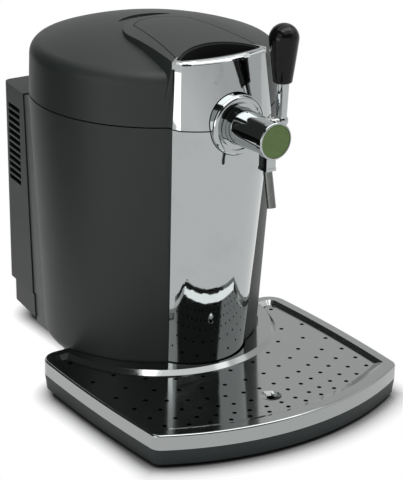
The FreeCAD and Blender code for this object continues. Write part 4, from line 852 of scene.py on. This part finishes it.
class DISPENSER_OT_stage(bpy.types.Operator):
    """Floor, backdrop, lamps and camera"""

    bl_idname = "dispenser.stage"
    bl_label = "Stage"

    def execute(self, context):
        settings = context.scene.dispenser_stage
        self.add_floor(settings)
        self.add_card()
        self.add_world(context, settings)
        for name, place_at, aim, size, power in LAMPS:
            add_softbox(name, place_at, aim, size, getattr(settings, power))
        self.add_camera(context, settings)
        context.scene.view_settings.view_transform = "Standard"
        return {"FINISHED"}

    def add_floor(self, settings):
        """A pale floor that turns plain white away from the dispenser, with painted
        shade darkening its colour under and beside the pieces.
        """
        material = bpy.data.materials.new("studio_floor")
        tree = bare_tree(material)
        # painted shade: the floor's colour is darkened by ambient occlusion under and
        # beside the pieces
        painted_shade_ao = place(tree, "AmbientOcclusion", {"Distance": PAINTED_SHADE_REACH})
        depth = maths(tree, "POWER", painted_shade_ao.outputs["AO"], PAINTED_SHADE_POWER)
        colour = scaled(tree, settings.floor_colour, depth)
        matte = place(
            tree, "BsdfDiffuse", {"Color": colour, "Roughness": FLOOR_ROUGHNESS}
        )
        white = place(tree, "Emission", {"Color": WHITE, "Strength": 1.0})
        share = maths(tree, "MULTIPLY", seen_directly(tree), off_shadow(tree))
        both = place(
            tree, "MixShader", {0: share, 1: matte.outputs[0], 2: white.outputs[0]}
        )
        place(tree, "OutputMaterial", {"Surface": both.outputs[0]})
        shape = bmesh.new()
        bmesh.ops.create_circle(
            shape, cap_ends=True, radius=FLOOR_RADIUS, segments=FLOOR_SIDES
        )
        floor = stage_object("studio_floor", shape, material)

    def add_card(self):
        """A black card on the floor at the left rear, seen only in reflections."""
        material = bpy.data.materials.new("black_card")
        tree = bare_tree(material)
        matte = place(tree, "BsdfDiffuse", {"Color": CARD_COLOUR})
        place(tree, "OutputMaterial", {"Surface": matte.outputs[0]})
        right, left, near, far = CARD_EDGES
        middle = ((left + right) / 2.0, (near + far) / 2.0, CARD_HEIGHT)
        shape = bmesh.new()
        bmesh.ops.create_grid(
            shape,
            size=0.5,
            matrix=Matrix.Translation(middle)
            @ Matrix.Diagonal((right - left, far - near, 1.0, 1.0)),
        )
        card = stage_object("black_card", shape, material)
        card.visible_camera = False

    def add_world(self, context, settings):
        """A pale room, brighter at its left, with dark stretches and ceiling."""
        world = bpy.data.worlds.new("studio")
        context.scene.world = world
        tree = bare_tree(world)
        where = place(tree, "TexCoord").outputs["Generated"]
        way = place(tree, "SeparateXYZ", {0: where}).outputs
        bearing = maths(
            tree,
            "ARCTAN2",
            maths(tree, "MULTIPLY", way["X"], -1.0),
            maths(tree, "MULTIPLY", way["Y"], -1.0),
        )
        rise = maths(tree, "ARCSINE", way["Z"])
        dark = 0.0
        for right, left, low, high in DARK_PARTS:
            across = maths(
                tree,
                "MULTIPLY",
                ranged(tree, bearing, right - SOFT, right + SOFT),
                ranged(tree, bearing, left + SOFT, left - SOFT),
            )
            part = maths(tree, "MULTIPLY", across, ranged(tree, rise, low, high))
            dark = maths(tree, "MAXIMUM", dark, part)
        lit = ranged(tree, bearing, *LEFT_GAIN)
        walls = scaled(tree, (settings.ambient,) * 3, lit)
        shade = mixed(tree, dark, walls, rgba(DARK_COLOUR))
        room = place(tree, "Background", {"Color": shade, "Strength": 1.0})
        place(tree, "OutputWorld", {"Surface": room.outputs[0]})

    def add_camera(self, context, settings):
        """The camera, placed by its angles, distance and slide."""
        right, up, back = camera_axes(settings)
        eye = TARGET - SLIDE_X * right - SLIDE_Y * up + settings.distance * back
        lens = bpy.data.cameras.new("camera")
        lens.sensor_fit = "VERTICAL"
        lens.sensor_height = SENSOR
        lens.lens = settings.focal_pixels / RENDER_HIGH * SENSOR
        lens.clip_end = CLIP_END
        holder = bpy.data.objects.new("camera", lens)
        bpy.context.scene.collection.objects.link(holder)
        holder.matrix_world = Matrix(
            (
                (right.x, up.x, back.x, eye.x),
                (right.y, up.y, back.y, eye.y),
                (right.z, up.z, back.z, eye.z),
                (0.0, 0.0, 0.0, 1.0),
            )
        )
        context.scene.camera = holder


class DISPENSER_PT_panel(bpy.types.Panel):
    """The dispenser's settings and buttons"""

    bl_idname = "DISPENSER_PT_panel"
    bl_label = "Beer dispenser"
    bl_space_type = "VIEW_3D"
    bl_region_type = "UI"
    bl_category = "Dispenser"

    def draw(self, context):
        for group in (context.scene.dispenser_finish, context.scene.dispenser_stage):
            column = self.layout.column()
            for name in group.__annotations__:
                column.prop(group, name)
        for operator in OPERATORS:
            self.layout.operator(operator.bl_idname)


OPERATORS = (
    DISPENSER_OT_body,
    DISPENSER_OT_front,
    DISPENSER_OT_tap,
    DISPENSER_OT_tray,
    DISPENSER_OT_inside,
    DISPENSER_OT_stage,
)
CLASSES = (FinishSettings, StageSettings, *OPERATORS, DISPENSER_PT_panel)


def register():
    """Registers the classes and hangs the settings on the scene."""
    for kind in CLASSES:
        bpy.utils.register_class(kind)
    bpy.types.Scene.dispenser_finish = PointerProperty(type=FinishSettings)
    bpy.types.Scene.dispenser_stage = PointerProperty(type=StageSettings)


def unregister():
    """Takes back what register has set."""
    del bpy.types.Scene.dispenser_stage
    del bpy.types.Scene.dispenser_finish
    for kind in reversed(CLASSES):
        bpy.utils.unregister_class(kind)


def main():
    register()
    for operator in OPERATORS:
        group, name = operator.bl_idname.split(".")
        getattr(getattr(bpy.ops, group), name)()


if __name__ == "__main__":
    main()
